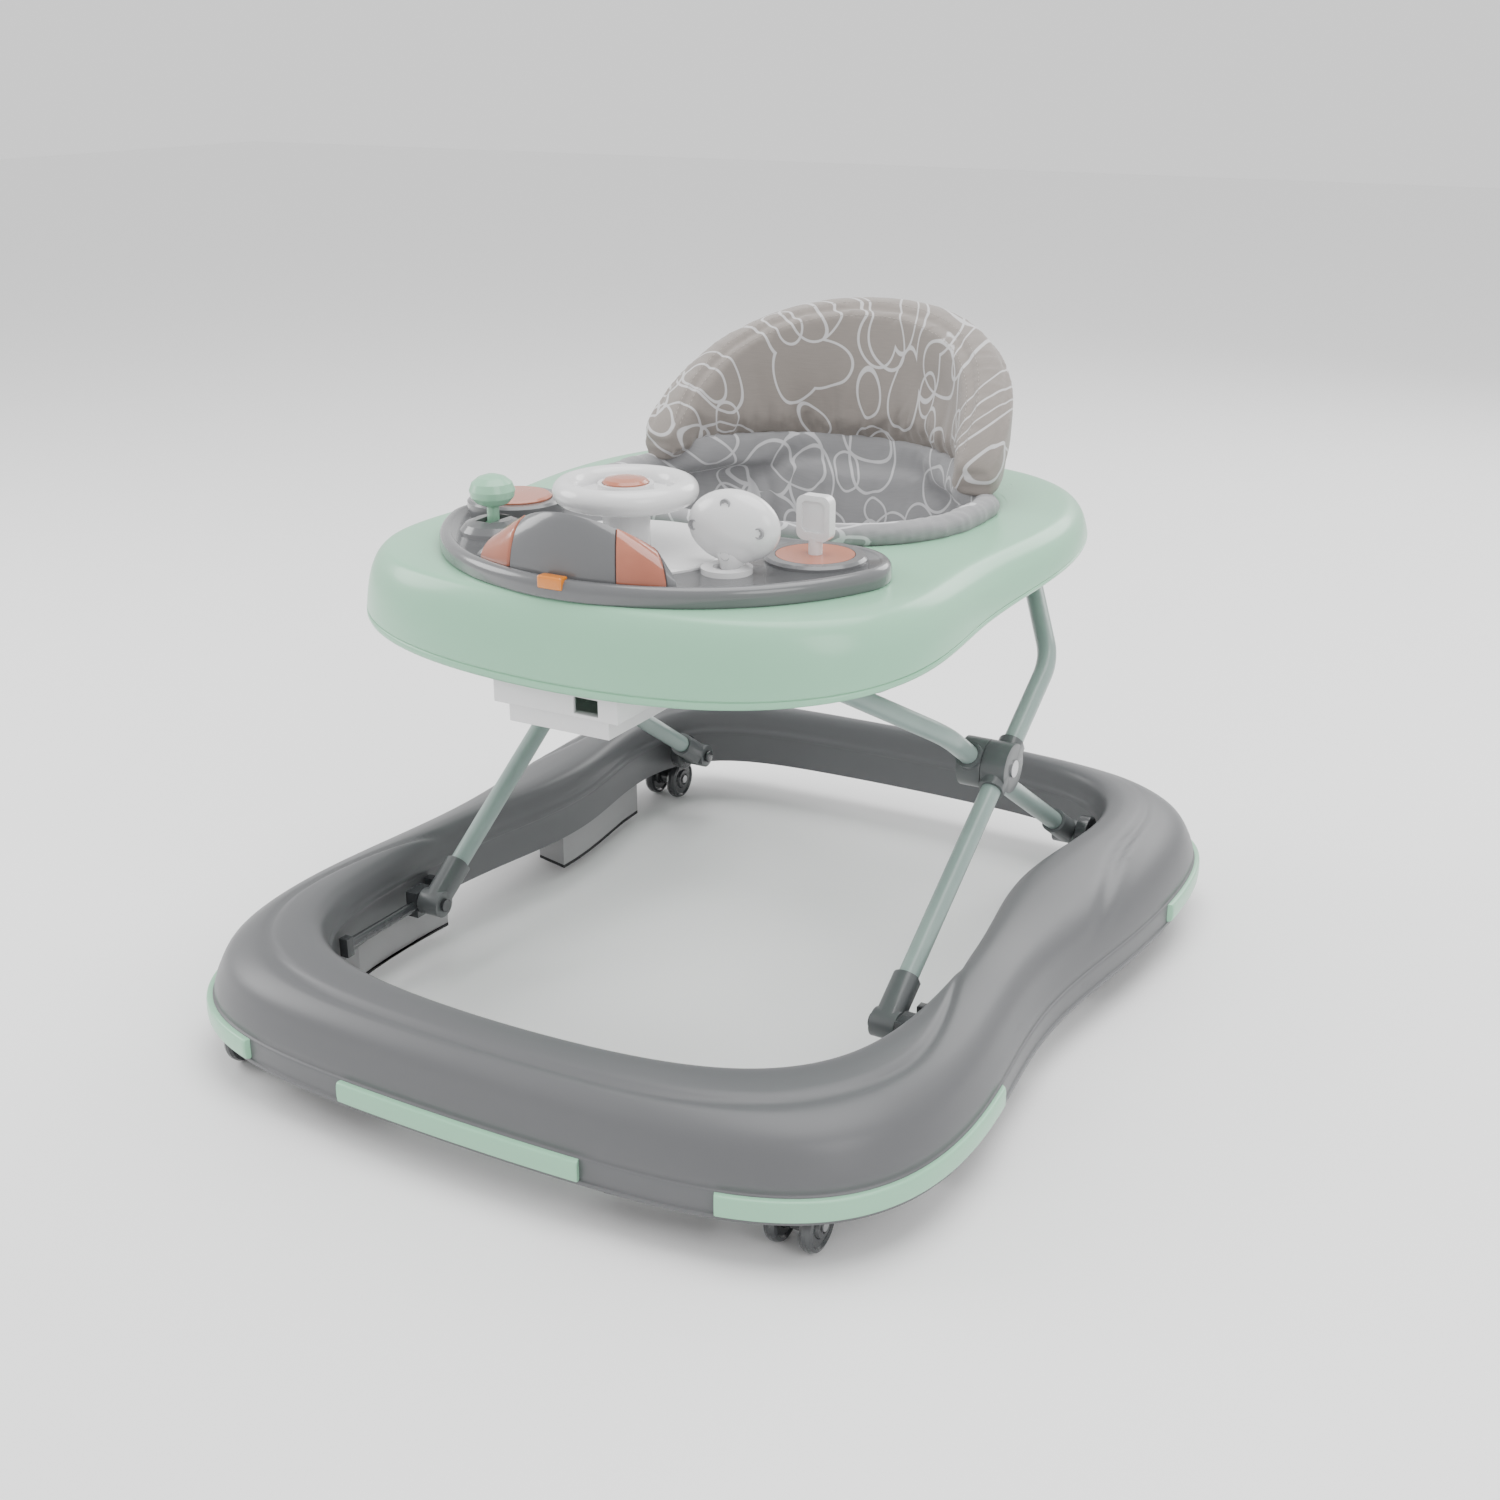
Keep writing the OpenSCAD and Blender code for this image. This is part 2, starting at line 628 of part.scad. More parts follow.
// ---------- seat ----------

SLING_STATIONS = 48;
sling_t = 4;
leg_hole = [58, -2, 262];
leg_hole_d = 92;

// Rings of the sling: [inset from the seat opening's edge, height] from the rim down
function sling_ring(inset, z, squash = 1) = [for (k = [0 : SLING_STATIONS - 1])
    let (p = seat_pt(k * 360 / SLING_STATIONS, inset, z)) [p[0], seat_mid_y + (p[1] - seat_mid_y) * squash, z]];

module seat_liner() {
    h = deck_z - sling_z;
    // Outer surface upwards, then the inner surface down to its floor
    outer = [[126, 0], [84, 0.02], [50, 0.12], [34, 0.30], [26, 0.52], [16, 0.78], [7, 0.95]];
    color(LINER_GREY) difference() {
        skin(concat(
            [for (s = outer) sling_ring(s[0], sling_z + h * s[1])],
            [sling_ring(3, deck_z - 1), sling_ring(3, deck_z + 5), sling_ring(8, deck_z + 9),
             sling_ring(12, deck_z + 5)],
            [for (k = [len(outer) - 1 : -1 : 0]) sling_ring(outer[k][0] + sling_t + (k < 2 ? 0 : 1),
                sling_z + h * outer[k][1] + (k < 3 ? sling_t : 2))]));
        mirrored_x() translate(leg_hole) rotate([62, 0, 14])
            cylinder(h = 120, d = leg_hole_d, center = true);
    }
}

// The backrest is a wall round the rear of the seat, highest behind the head
back_a = 146;
back_b = 130;
back_mid_y = 118;
back_arc = 86;
back_foot_z = deck_z + 10;
BACK_STATIONS = 30;
function back_rise(f) = (back_z - back_foot_z) * pow(max(0.02, cos(f * 90 / (back_arc + 3))), 0.62);
function back_lean(f) = 22 * cos(f * 90 / back_arc);
// A point of the wall: f is the angle from the rear middle, across runs from its inner to its outer face
function back_pt(f, across, up) =
    let (r_in = [back_a * sin(f), back_b * cos(f)], out = unit([sin(f) / back_a, cos(f) / back_b]),
         p = r_in + out * (across + back_lean(f) * up))
    [p[0], back_mid_y + p[1], back_foot_z + up * back_rise(f)];

board_t = 3;
// Inverted U section of the padding: [across, share of the height]
COVER_SECTION = let (t = back_t / 2, slot = board_t / 2 + 0.3)
    [[slot, 0], [t * 0.6, 0], [t * 0.85, 0.2], [t, 0.5], [t * 0.95, 0.8], [t * 0.6, 0.95], [0, 1],
     [-t * 0.6, 0.95], [-t * 0.95, 0.8], [-t, 0.5], [-t * 0.85, 0.2], [-t * 0.6, 0], [-slot, 0],
     [-slot, 0.62], [slot, 0.62]];

module backrest_cover() {
    color(HOOD_TAUPE) skin([for (k = [0 : BACK_STATIONS]) let (f = -back_arc + 2 * back_arc * k / BACK_STATIONS)
        [for (s = COVER_SECTION) back_pt(f, s[0], s[1])]]);
}

module backrest_board() {
    half = board_t / 2;
    span = back_arc - 8;
    color(BOARD_BROWN) skin([for (k = [0 : BACK_STATIONS]) let (f = -span + 2 * span * k / BACK_STATIONS)
        [for (s = [[half, 0], [half, 0.58], [-half, 0.58], [-half, 0]]) back_pt(f, s[0], s[1])]]);
}

// ---------- toys ----------

panel_top = deck_z + 13;
panel_front_y = -244;
panel_rear_y = -66;
lobe_mid = [138, -104];
lobe_r = 46;
// The front rim is an arc through the panel's front that touches both lobes from outside
front_gap = lobe_mid[1] - panel_front_y;
big_r = (pow(lobe_mid[0], 2) + pow(front_gap, 2) - pow(lobe_r, 2)) / (2 * (front_gap - lobe_r));
big_mid = [0, panel_front_y + big_r];
lobe_turn = atan2(lobe_mid[1] - big_mid[1], lobe_mid[0]);
// Radius of the concave rear edge, which touches both lobes
rear_gap = panel_rear_y - lobe_mid[1];
rear_r = (pow(lobe_mid[0], 2) + pow(rear_gap, 2) - pow(lobe_r, 2)) / (2 * (lobe_r - rear_gap));
rear_mid = [0, panel_rear_y + rear_r];
rear_turn = atan2(rear_mid[1] - lobe_mid[1], -lobe_mid[0]);

function arc(c, r, from, to, n) = [for (k = [0 : n]) let (t = from + (to - from) * k / n) c + r * [cos(t), sin(t)]];

// Kidney outline of the toy panel, moved inwards by i
function panel_outline(i) = concat(
    arc(big_mid, big_r - i, -180 - lobe_turn, lobe_turn, 40),
    arc(lobe_mid, lobe_r - i, lobe_turn + 6, rear_turn, 14),
    arc(rear_mid, rear_r + i, rear_turn - 180 - 2, -rear_turn + 2, 12),
    arc([-lobe_mid[0], lobe_mid[1]], lobe_r - i, 180 - rear_turn, 180 - lobe_turn - 6, 14));
function lift(outline, z) = [for (p = outline) [p[0], p[1], z]];

module toy_panel() {
    h = panel_top - deck_z;
    color(BASE_GREY) difference() {
        skin([lift(panel_outline(1), deck_z), lift(panel_outline(0), deck_z + 2),
            lift(panel_outline(0), deck_z + h * 0.5), lift(panel_outline(1.2), deck_z + h * 0.74),
            lift(panel_outline(4), deck_z + h * 0.93), lift(panel_outline(8), panel_top)]);
        lens_block(free_gap / 2);
    }
}

steer_mid = [0, -148];
plate_r = 76;
cowl_arc = 51;
lamp_arc = [28, 48];
cowl_h = 43;
// Ridge of the cowl round the steering plate, and its foot along the panel's front rim
function cowl_dir(a) = [sin(a), -cos(a)];
function cowl_foot_r(a) = let (dy = big_mid[1] - steer_mid[1], r = big_r - 9)
    sqrt(pow(dy * cos(a), 2) + r * r - dy * dy) - dy * cos(a);
function cowl_ridge_z(a) = panel_top + cowl_h * (1 - 0.62 * pow(a / cowl_arc, 2));
// Section of the cowl at one angle: [share from ridge to foot, share of the ridge's height]
COWL_CURVE = [[0, 0], [1, 0], [0.97, 0.15], [0.86, 0.42], [0.66, 0.70], [0.40, 0.90], [0.16, 0.99], [0.05, 1], [0, 0.97]];
function cowl_section(a, skin_off) =
    let (r0 = plate_r + 1, r1 = cowl_foot_r(a), z1 = cowl_ridge_z(a))
    [for (s = COWL_CURVE) let (r = r0 + (r1 - r0) * s[0] + (s[0] > 0.01 ? skin_off * 0.8 : 0),
        p = steer_mid + cowl_dir(a) * r)
        [p[0], p[1], panel_top + max(0, (z1 - panel_top) * s[1] + (s[1] > 0.01 ? skin_off * 0.6 : 0))]];

module dash_cowl() {
    edge = 0.5;
    half = [10, 20, lamp_arc[0], lamp_arc[0] + edge, (lamp_arc[0] + lamp_arc[1]) / 2, lamp_arc[1] - edge,
        lamp_arc[1], cowl_arc];
    stations = concat([for (k = [len(half) - 1 : -1 : 0]) -half[k]], [0], half);
    color(BASE_GREY) skin([for (a = stations)
        cowl_section(a, abs(a) > lamp_arc[0] + 0.2 && abs(a) < lamp_arc[1] - 0.2 ? -2 : 0)]);
}

module cowl_lamps() {
    color(PEACH) for (side = [-1, 1]) {
        from = side > 0 ? lamp_arc[0] + 1 : -lamp_arc[1] + 1;
        to = side > 0 ? lamp_arc[1] - 1 : -lamp_arc[0] - 1;
        skin([for (a = [from, (from + to) / 2, to]) let (low = cowl_section(a, -0.7), high = cowl_section(a, 0.8))
            [low[2], high[2], high[3], high[4], high[5], high[6], low[6], low[5], low[4], low[3]]]);
    }
}

lens_size = [20, 9, 9];

module lens_block(grow) {
    translate([0, panel_front_y + lens_size[1] / 2 - 1.5, panel_top - 1.5])
        cube([lens_size[0] + grow, lens_size[1] + grow, lens_size[2] + grow], center = true);
}

module indicator_lens() {
    color(ORANGE) lens_block(0);
}

module dash_plate() {
    color(WHITE) translate([steer_mid[0], steer_mid[1], panel_top]) difference() {
        rotate_extrude($fn = 96) polygon([[0, 0], [plate_r, 0], [plate_r, 1.5], [plate_r - 1.5, 3], [0, 3]]);
        translate([0, 0, -1]) cylinder(h = 6, r = column_r + 0.1);
    }
}

column_r = 17;
column_top = 431;
spindle_r = 6;

module steering_column() {
    color(WHITE) translate([steer_mid[0], steer_mid[1], panel_top]) {
        cylinder(h = column_top - panel_top, r = column_r);
        cylinder(h = column_top + 9 - panel_top, r = spindle_r);
    }
}

steer_z = 443;
rim_r = 9;
hub_r = 20;

module steering_wheel() {
    color(WHITE) translate([steer_mid[0], steer_mid[1], 0]) difference() {
        union() {
            translate([0, 0, steer_z]) rotate_extrude($fn = 72) translate([steer_d / 2 - rim_r, 0]) circle(r = rim_r);
            translate([0, 0, column_top + free_gap]) cylinder(h = 17, r = hub_r);
            translate([0, 0, steer_z - 6]) difference() {
                cylinder(h = 5, r = steer_d / 2 - rim_r);
                for (a = [30, 150, 270]) rotate([0, 0, a]) translate([31, 0, -1]) cylinder(h = 8, d = 15);
            }
        }
        translate([0, 0, column_top]) cylinder(h = 9.5, r = spindle_r + run_gap);
        translate([0, 0, horn_floor]) cylinder(h = 20, r = horn_d / 2 + free_gap);
    }
}

horn_floor = column_top + 12;

module horn_button() {
    color(PEACH) translate([steer_mid[0], steer_mid[1], horn_floor + button_travel + free_gap]) rotate_extrude()
        polygon([[0, 0], [horn_d / 2, 0], [horn_d / 2, 3.5], [horn_d / 2 - 2, 5.2], [8, 6.4], [0, 6.8]]);
}

gear_at = [-112, -156];
gear_pivot_z = panel_top + 5;

module gear_socket() {
    color(BASE_GREY) translate([gear_at[0], gear_at[1], panel_top]) difference() {
        rotate_extrude() polygon([[0, 0], [25.5, 0], [24.8, 3], [21, 7.5], [14, 10.5], [0, 11]]);
        translate([-7, -13, 1]) cube([14, 26, 20]);
    }
}

module gear_lever() {
    color(MINT) translate([gear_at[0], gear_at[1], gear_pivot_z]) {
        x_cyl([0, 0, 0], 6, 12);
        cylinder(h = 20, d = 9);
        translate([0, 0, 15]) rotate_extrude()
            polygon([[0, 0], [6, 0], [12, 2.5], [16, 7], [17, 12], [15, 17.5], [10, 21.5], [4, 23.5], [0, 24]]);
    }
}

mirror_at = [93, -166];
egg_mid = [mirror_at[0], mirror_at[1] + 8, 437];
egg_half = [33, 14, 25];

module mirror_stand() {
    color(WHITE) translate([mirror_at[0], mirror_at[1], panel_top]) {
        difference() {
            cylinder(h = 4, r = 18);
            translate([0, 0, 1]) cylinder(h = 5, r = 9.5 + run_gap);
        }
    }
}

// Egg-shaped shell, cut flat in front of the mirror glass
function egg_ring(v) = [for (k = [0 : 27]) let (t = k * 360 / 28, c = cos(v))
    egg_mid + [egg_half[0] * c * cos(t), 0, 0] + [0, min(egg_half[1] * c * sin(t), 9), egg_half[2] * sin(v)]];

module mirror_shell() {
    color(WHITE) difference() {
        union() {
            skin([for (v = [-84 : 14 : 84]) egg_ring(v)]);
            translate([mirror_at[0], mirror_at[1], panel_top + 1 + free_gap])
                cylinder(h = egg_mid[2] - egg_half[2] - panel_top + 3, r = 9.5);
        }
        screw_spots() cylinder(h = 3, d = 4.6);
    }
}

module mirror_glass() {
    color(MIRROR) translate([egg_mid[0], egg_mid[1] + 9, egg_mid[2]]) rotate([-90, 0, 0]) linear_extrude(1.5)
        polygon([for (k = [0 : 35]) [22 * cos(k * 10), 16 * sin(k * 10)]]);
}

// Four places in the back of the egg, where the screws go in
module screw_spots() {
    for (sx = [-1, 1], sz = [-1, 1]) translate(egg_mid + [sx * 18, -9.6, sz * 11]) rotate([90, 0, 0]) children();
}

module mirror_screws() {
    color(STEEL) screw_spots() cylinder(h = 2.4, d = 4.4);
}

button_pod_at = [-135, -97];
key_pod_at = [130, -106];
button_pod_h = 12;
key_pod_h = 4;
pod_r = 37;
disc_r = 28;

// A round pod with a raised ring and a recess for its disc
module pod(h) {
    difference() {
        rotate_extrude() polygon([[0, 0], [pod_r, 0], [pod_r, h - 2], [pod_r - 2, h], [0, h]]);
        translate([0, 0, h - 3]) cylinder(h = 5, r = disc_r + free_gap);
        cylinder(h = 2 * h, r = 5 + free_gap, center = true);
    }
}

module button_pod() {
    color(BASE_GREY) translate([button_pod_at[0], button_pod_at[1], panel_top]) pod(button_pod_h);
}

module pod_button() {
    color(PEACH) translate([button_pod_at[0], button_pod_at[1], panel_top + button_pod_h - 3 + button_travel + free_gap]) {
        rotate_extrude() polygon([[0, 0], [disc_r, 0], [disc_r, 1], [disc_r - 2, 2.4], [0, 3]]);
        translate([0, 0, -6]) cylinder(h = 7, r = 5);
    }
}

module key_pod() {
    color(BASE_GREY) translate([key_pod_at[0], key_pod_at[1], panel_top]) pod(key_pod_h);
}

key_stem_d = 10;

module key_pod_disc() {
    color(PEACH) translate([key_pod_at[0], key_pod_at[1], panel_top + key_pod_h - 3]) difference() {
        cylinder(h = 3, r = disc_r);
        translate([0, 0, 0.5]) cylinder(h = 5, d = key_stem_d + 2 * run_gap);
    }
}

key_size = [26, 9, 32];

module play_key() {
    z = panel_top + key_pod_h;
    color(WHITE) translate([key_pod_at[0], key_pod_at[1], 0]) {
        translate([0, 0, z - 2]) cylinder(h = 14, d = key_stem_d);
        difference() {
            translate([0, key_size[1] / 2, z + 10 + key_size[2] / 2]) rotate([90, 0, 0]) linear_extrude(key_size[1])
                offset(r = 6, $fn = MESH_FN) square([key_size[0] - 12, key_size[2] - 12], center = true);
            translate([0, -key_size[1] / 2 + 1.5, z + 11 + key_size[2] / 2]) rotate([90, 0, 0]) linear_extrude(4)
                offset(r = 4, $fn = MESH_FN) square([key_size[0] - 16, key_size[2] - 18], center = true);
        }
    }
}

base_shell();
bumper(FRONT_CORNER[0], FRONT_CORNER[1]);  // bumper_front_left
bumper(-90 - FRONT_MIDDLE, -90 + FRONT_MIDDLE);  // bumper_front_middle
bumper(-180 - FRONT_CORNER[1], -180 - FRONT_CORNER[0]);  // bumper_front_right
bumper(REAR_CORNER[0], REAR_CORNER[1]);  // bumper_rear_left
bumper(180 - REAR_CORNER[1], 180 - REAR_CORNER[0]);  // bumper_rear_right
brake_pad_holders();
brake_pad_rubbers();
caster_sockets();
slide_rails();
rear_leg_brackets();
base_screws();
caster_fork(front_stem);  // caster_fork_front_left
caster_wheels(front_stem);  // caster_wheels_front_left
caster_axle(front_stem);  // caster_axle_front_left
caster_fork(flip(front_stem));  // caster_fork_front_right
caster_wheels(flip(front_stem));  // caster_wheels_front_right
caster_axle(flip(front_stem));  // caster_axle_front_right
caster_fork(rear_stem);  // caster_fork_rear_left
caster_wheels(rear_stem);  // caster_wheels_rear_left
caster_axle(rear_stem);  // caster_axle_rear_left
caster_fork(flip(rear_stem));  // caster_fork_rear_right
caster_wheels(flip(rear_stem));  // caster_wheels_rear_right
caster_axle(flip(rear_stem));  // caster_axle_rear_right
outer_leg_frame();
inner_leg_frame();
clamps_outer();
clamps_inner();
cross_pivot_pins();
front_foot_caps();
rear_foot_caps();
rail_sliders();
tray_shell();
height_adjuster();
adjuster_latch();
rear_tube_brackets();
tray_screws();
seat_liner();
backrest_board();
backrest_cover();
toy_panel();
dash_cowl();
cowl_lamps();
indicator_lens();
dash_plate();
steering_column();
steering_wheel();
horn_button();
gear_socket();
gear_lever();
mirror_stand();
mirror_shell();
mirror_glass();
mirror_screws();
button_pod();
pod_button();
key_pod();
key_pod_disc();
play_key();
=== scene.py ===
import json
import math
import bmesh
import bpy
import numpy as np
from mathutils import Matrix, Vector
from mathutils.bvhtree import BVHTree


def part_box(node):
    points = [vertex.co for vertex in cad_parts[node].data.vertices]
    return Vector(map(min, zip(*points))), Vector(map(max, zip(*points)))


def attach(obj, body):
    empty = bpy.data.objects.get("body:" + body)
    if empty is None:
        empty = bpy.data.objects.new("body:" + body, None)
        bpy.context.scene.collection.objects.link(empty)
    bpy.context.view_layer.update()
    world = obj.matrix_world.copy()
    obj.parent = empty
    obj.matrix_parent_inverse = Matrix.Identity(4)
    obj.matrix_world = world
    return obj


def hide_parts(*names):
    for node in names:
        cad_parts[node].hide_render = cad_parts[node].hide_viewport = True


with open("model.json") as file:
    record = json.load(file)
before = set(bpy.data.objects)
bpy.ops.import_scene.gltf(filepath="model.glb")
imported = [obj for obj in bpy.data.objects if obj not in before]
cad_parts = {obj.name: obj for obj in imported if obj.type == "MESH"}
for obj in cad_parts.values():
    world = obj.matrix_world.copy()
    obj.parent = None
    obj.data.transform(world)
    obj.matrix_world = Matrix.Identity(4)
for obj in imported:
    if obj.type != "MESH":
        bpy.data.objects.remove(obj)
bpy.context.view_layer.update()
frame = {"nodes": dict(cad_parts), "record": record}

# ---- View and studio ----
# The walker stands on a plain white floor under large soft lamps. The camera looks down at its
# front from the child's left-hand side.
eye = Vector((0.7295, -1.2547, 0.7508))
look_at = Vector((0.0818, -0.1140, 0.2500))
lens_mm = 45.61

scene = bpy.context.scene


def link(data, name):
    obj = bpy.data.objects.new(name, data)
    scene.collection.objects.link(obj)
    return obj


camera_data = bpy.data.cameras.new("camera")
camera_data.lens = lens_mm
camera_data.sensor_width = 36
camera = link(camera_data, "camera")
camera.location = eye
camera.rotation_euler = (look_at - eye).to_track_quat("-Z", "Y").to_euler()
scene.camera = camera


def softbox(name, place, target, size, power):
    data = bpy.data.lights.new(name, "AREA")
    data.shape = "DISK"
    data.size = size
    data.energy = power
    lamp = link(data, name)
    lamp.location = place
    lamp.rotation_euler = (Vector(target) - Vector(place)).to_track_quat("-Z", "Y").to_euler()


centre = (0, 0, 0.25)
world_light = 1.12
softbox("top_light", (0.3, 0.2, 2.6), centre, 2.4, 62)
softbox("left_light", (-2.4, -0.7, 1.5), centre, 1.6, 42)
softbox("right_light", (2.2, -1.2, 1.7), centre, 1.4, 20)
softbox("back_light", (0.5, 2.5, 1.6), centre, 1.5, 26)
world = bpy.data.worlds.new("studio")
world.use_nodes = True
world.node_tree.nodes["Background"].inputs[0].default_value = (1, 1, 1, 1)
world.node_tree.nodes["Background"].inputs[1].default_value = world_light
scene.world = world


# ---- Base ring ----
# A ring of satin grey plastic, 650 mm wide and 770 mm long, moulded in one piece and open underneath, with
# a waist at each side. Its crown is full and round, and rises towards the opening.
class Socket:
    """An output of a shader node, so that sums on it can be written as plain expressions."""

    def __init__(self, paint, socket):
        self.paint, self.socket = paint, socket

    def math(self, operation, *values):
        return self.paint.node("ShaderNodeMath", {"operation": operation}, dict(enumerate((self, *values))))

    def __add__(self, other): return self.math("ADD", other)
    def __radd__(self, other): return self.math("ADD", other)
    def __sub__(self, other): return self.math("SUBTRACT", other)
    def __rsub__(self, other): return self.math("MULTIPLY", -1).math("ADD", other)
    def __mul__(self, other): return self.math("MULTIPLY", other)
    def __truediv__(self, other): return self.math("DIVIDE", other)
    def __pow__(self, other): return self.math("POWER", other)
    def __abs__(self): return self.math("ABSOLUTE")

    def soft_step(self, low, high):
        """0 below low, 1 above high, and smooth between them."""
        return self.paint.node("ShaderNodeMapRange", {"interpolation_type": "SMOOTHSTEP"},
                               {"Value": self, "From Min": low, "From Max": high}, "Result")


class Paint:
    """One material's node tree, with its shader ready."""

    def __init__(self, name):
        self.material = bpy.data.materials.new(name)
        self.material.use_nodes = True
        self.tree = self.material.node_tree
        self.shader = self.tree.nodes["Principled BSDF"]

    def join(self, value, socket):
        if isinstance(value, Socket):
            self.tree.links.new(value.socket, socket)
        elif isinstance(value, tuple) and len(value) == 3 and socket.type == "RGBA":
            socket.default_value = (*value, 1)
        else:
            socket.default_value = value

    def node(self, kind, settings=None, values=None, output=0):
        made = self.tree.nodes.new(kind)
        for key, value in (settings or {}).items():
            setattr(made, key, value)
        for key, value in (values or {}).items():
            self.join(value, made.inputs[key])
        return Socket(self, made.outputs[output])

    def place(self):
        return self.node("ShaderNodeTexCoord", output="Object")

    def stretched(self, vector, scale):
        return self.node("ShaderNodeMapping", values={"Vector": vector, "Scale": scale})

    def noise(self, vector, scale, detail=3.0, rough=0.5):
        return self.node("ShaderNodeTexNoise",
                         values={"Vector": vector, "Scale": scale, "Detail": detail, "Roughness": rough})

    def mix(self, share, first, second):
        made = self.tree.nodes.new("ShaderNodeMix")
        made.data_type = "RGBA"
        for value, socket in zip((share, first, second), (made.inputs[0], made.inputs[6], made.inputs[7])):
            self.join(value, socket)
        return Socket(self, made.outputs[2])

    def bump(self, height, distance, strength=1.0, under=None):
        values = {"Height": height, "Distance": distance, "Strength": strength}
        if under:
            values["Normal"] = under
        return self.node("ShaderNodeBump", values=values)

    def finish(self, **values):
        for key, value in values.items():
            self.join(value, self.shader.inputs[key.replace("_", " ").title()])
        return self.material


def shade(colour, factor):
    return tuple(min(1.0, c * factor) for c in colour)


def moulded(name, colour, roughness, grain=0.00002, coat=0.0, blush=0.05):
    """Injection-moulded plastic: fine spark-eroded grain, faint flow marks and handling scuffs."""
    p = Paint(name)
    place = p.place()
    flow = p.noise(place, 7, 4, 0.6)
    speck = p.noise(place, 900, 2)
    scuff = p.noise(p.stretched(place, (60, 14, 40)), 1.0, 6, 0.7).soft_step(0.60, 0.78)
    tone = (flow - 0.5) * 1.1 + (speck - 0.5) * 0.35
    colour_now = p.mix((tone * 0.5 + 0.5).soft_step(0, 1),
                       shade(colour, 1 - blush), shade(colour, 1 + blush))
    colour_now = p.mix(scuff * 0.18, colour_now, shade(colour, 1.25))
    rough_now = roughness + (flow - 0.5) * 0.12 + scuff * 0.10
    normal = p.bump(speck, grain, 0.6, p.bump(flow, 0.0002, 0.25))
    p.shader.inputs["Coat Weight"].default_value = coat
    p.shader.inputs["Coat Roughness"].default_value = 0.08
    return p.finish(base_color=colour_now, roughness=rough_now, normal=normal)


def mesh_piece(name, points, faces, material, smooth_angle=35):
    """An object made of the closed shape, with its faces outwards."""
    mesh = bpy.data.meshes.new(name)
    mesh.from_pydata([tuple(p) for p in points], [], [tuple(f) for f in faces])
    build = bmesh.new()
    build.from_mesh(mesh)
    bmesh.ops.remove_doubles(build, verts=build.verts, dist=1e-6)
    bmesh.ops.recalc_face_normals(build, faces=build.faces)
    if build.calc_volume(signed=True) < 0:
        bmesh.ops.reverse_faces(build, faces=build.faces)
    build.to_mesh(mesh)
    build.free()
    obj = link(mesh, name)
    mesh.materials.append(material)
    round_off(obj, smooth_angle)
    return obj


def round_off(obj, angle):
    """Smooth shading, with edges sharper than the angle left crisp."""
    mesh = obj.data
    mesh.shade_smooth()
    if angle < 180:
        mesh.set_sharp_from_angle(angle=math.radians(angle))


def loft(rings, closed=False):
    """Points and faces over a stack of rings. An open stack gets a cap at both ends."""
    rings = [np.asarray(r, float) for r in rings]
    n, m = len(rings[0]), len(rings)
    faces = []
    for i in range(m if closed else m - 1):
        low, high = i * n, (i + 1) % m * n
        faces += [(low + j, low + (j + 1) % n, high + (j + 1) % n, high + j) for j in range(n)]
    if not closed:
        faces += [tuple(range(n)), tuple((m - 1) * n + j for j in range(n))]
    return np.concatenate(rings), faces


def through(points, steps):
    """A smooth curve through the points, with that many steps on each span."""
    pts = np.asarray(points, float)
    last = len(pts) - 1
    out = []
    for k in range(last):
        a, b, c, d = (pts[min(max(k + i, 0), last)] for i in (-1, 0, 1, 2))
        for s in range(steps):
            t = s / steps
            out.append(0.5 * (2 * b + (c - a) * t + (2 * a - 5 * b + 4 * c - d) * t ** 2
                              + (3 * b - a - 3 * c + d) * t ** 3))
    return np.array(out + [pts[-1]])


def move_with(obj, body, slot, *nodes):
    """What every finished piece needs: its body and the nodes that it stands for. The slot, its finish, is not
    used.
    """
    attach(obj, body)
    if nodes:
        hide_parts(*nodes)
    return obj


MM = 0.001
base_grey = moulded("base_grey", (0.100, 0.102, 0.107), 0.40, grain=0.00003, blush=0.035)
bumper_t = 5
base_outer = dict(half=325 - bumper_t, front=385 - bumper_t, rear=385 - bumper_t, square=(5.2, 6.5),
                  bow=(20, 10), waist=22, waist_y=-33, spread=145)
base_inner = dict(half=245, front=320, rear=336, square=(5.2, 6), bow=(38, 16),
                  waist=25, waist_y=90, spread=115)
wall = 3


def peanut(o, t):
    """A superellipse with its own front and rear, bowed ends and a waist, at the angles t."""
    c, s = np.cos(t), np.sin(t)
    rear = s >= 0
    b = np.where(rear, o["rear"], o["front"])
    n = np.where(rear, o["square"][1], o["square"][0])
    r = (np.abs(c / o["half"]) ** n + np.abs(s / b) ** n) ** (-1 / n)
    x, y = r * c, r * s
    bow = np.where(rear, o["bow"][1], o["bow"][0]) * (x / o["half"]) ** 2 * (y / b) ** 2
    y = y - np.sign(y) * bow
    waist = o["waist"] / o["half"] * np.exp(-((y - o["waist_y"]) / o["spread"]) ** 2)
    return np.stack([x * (1 - waist), y], -1)


def base_pt(t, u, off, z):
    """A place on the ring: u runs from the skirt to the opening, and off adds millimetres."""
    outer, inner = peanut(base_outer, t), peanut(base_inner, t)
    away = inner - outer
    inwards = away / np.linalg.norm(away, axis=-1, keepdims=True)
    flat = outer + away * np.asarray(u)[..., None] + inwards * np.asarray(off)[..., None]
    height = np.broadcast_to(np.asarray(z, float), flat.shape[:-1])
    return np.concatenate([flat, height[..., None]], -1) * MM


def ramp(x, low, high):
    """0 below low, 1 above high, and smooth between them."""
    x = np.clip((np.asarray(x, float) - low) / (high - low), 0, 1)
    return x * x * (3 - 2 * x)


round_t = np.radians(np.arange(0, 360, 1.0))
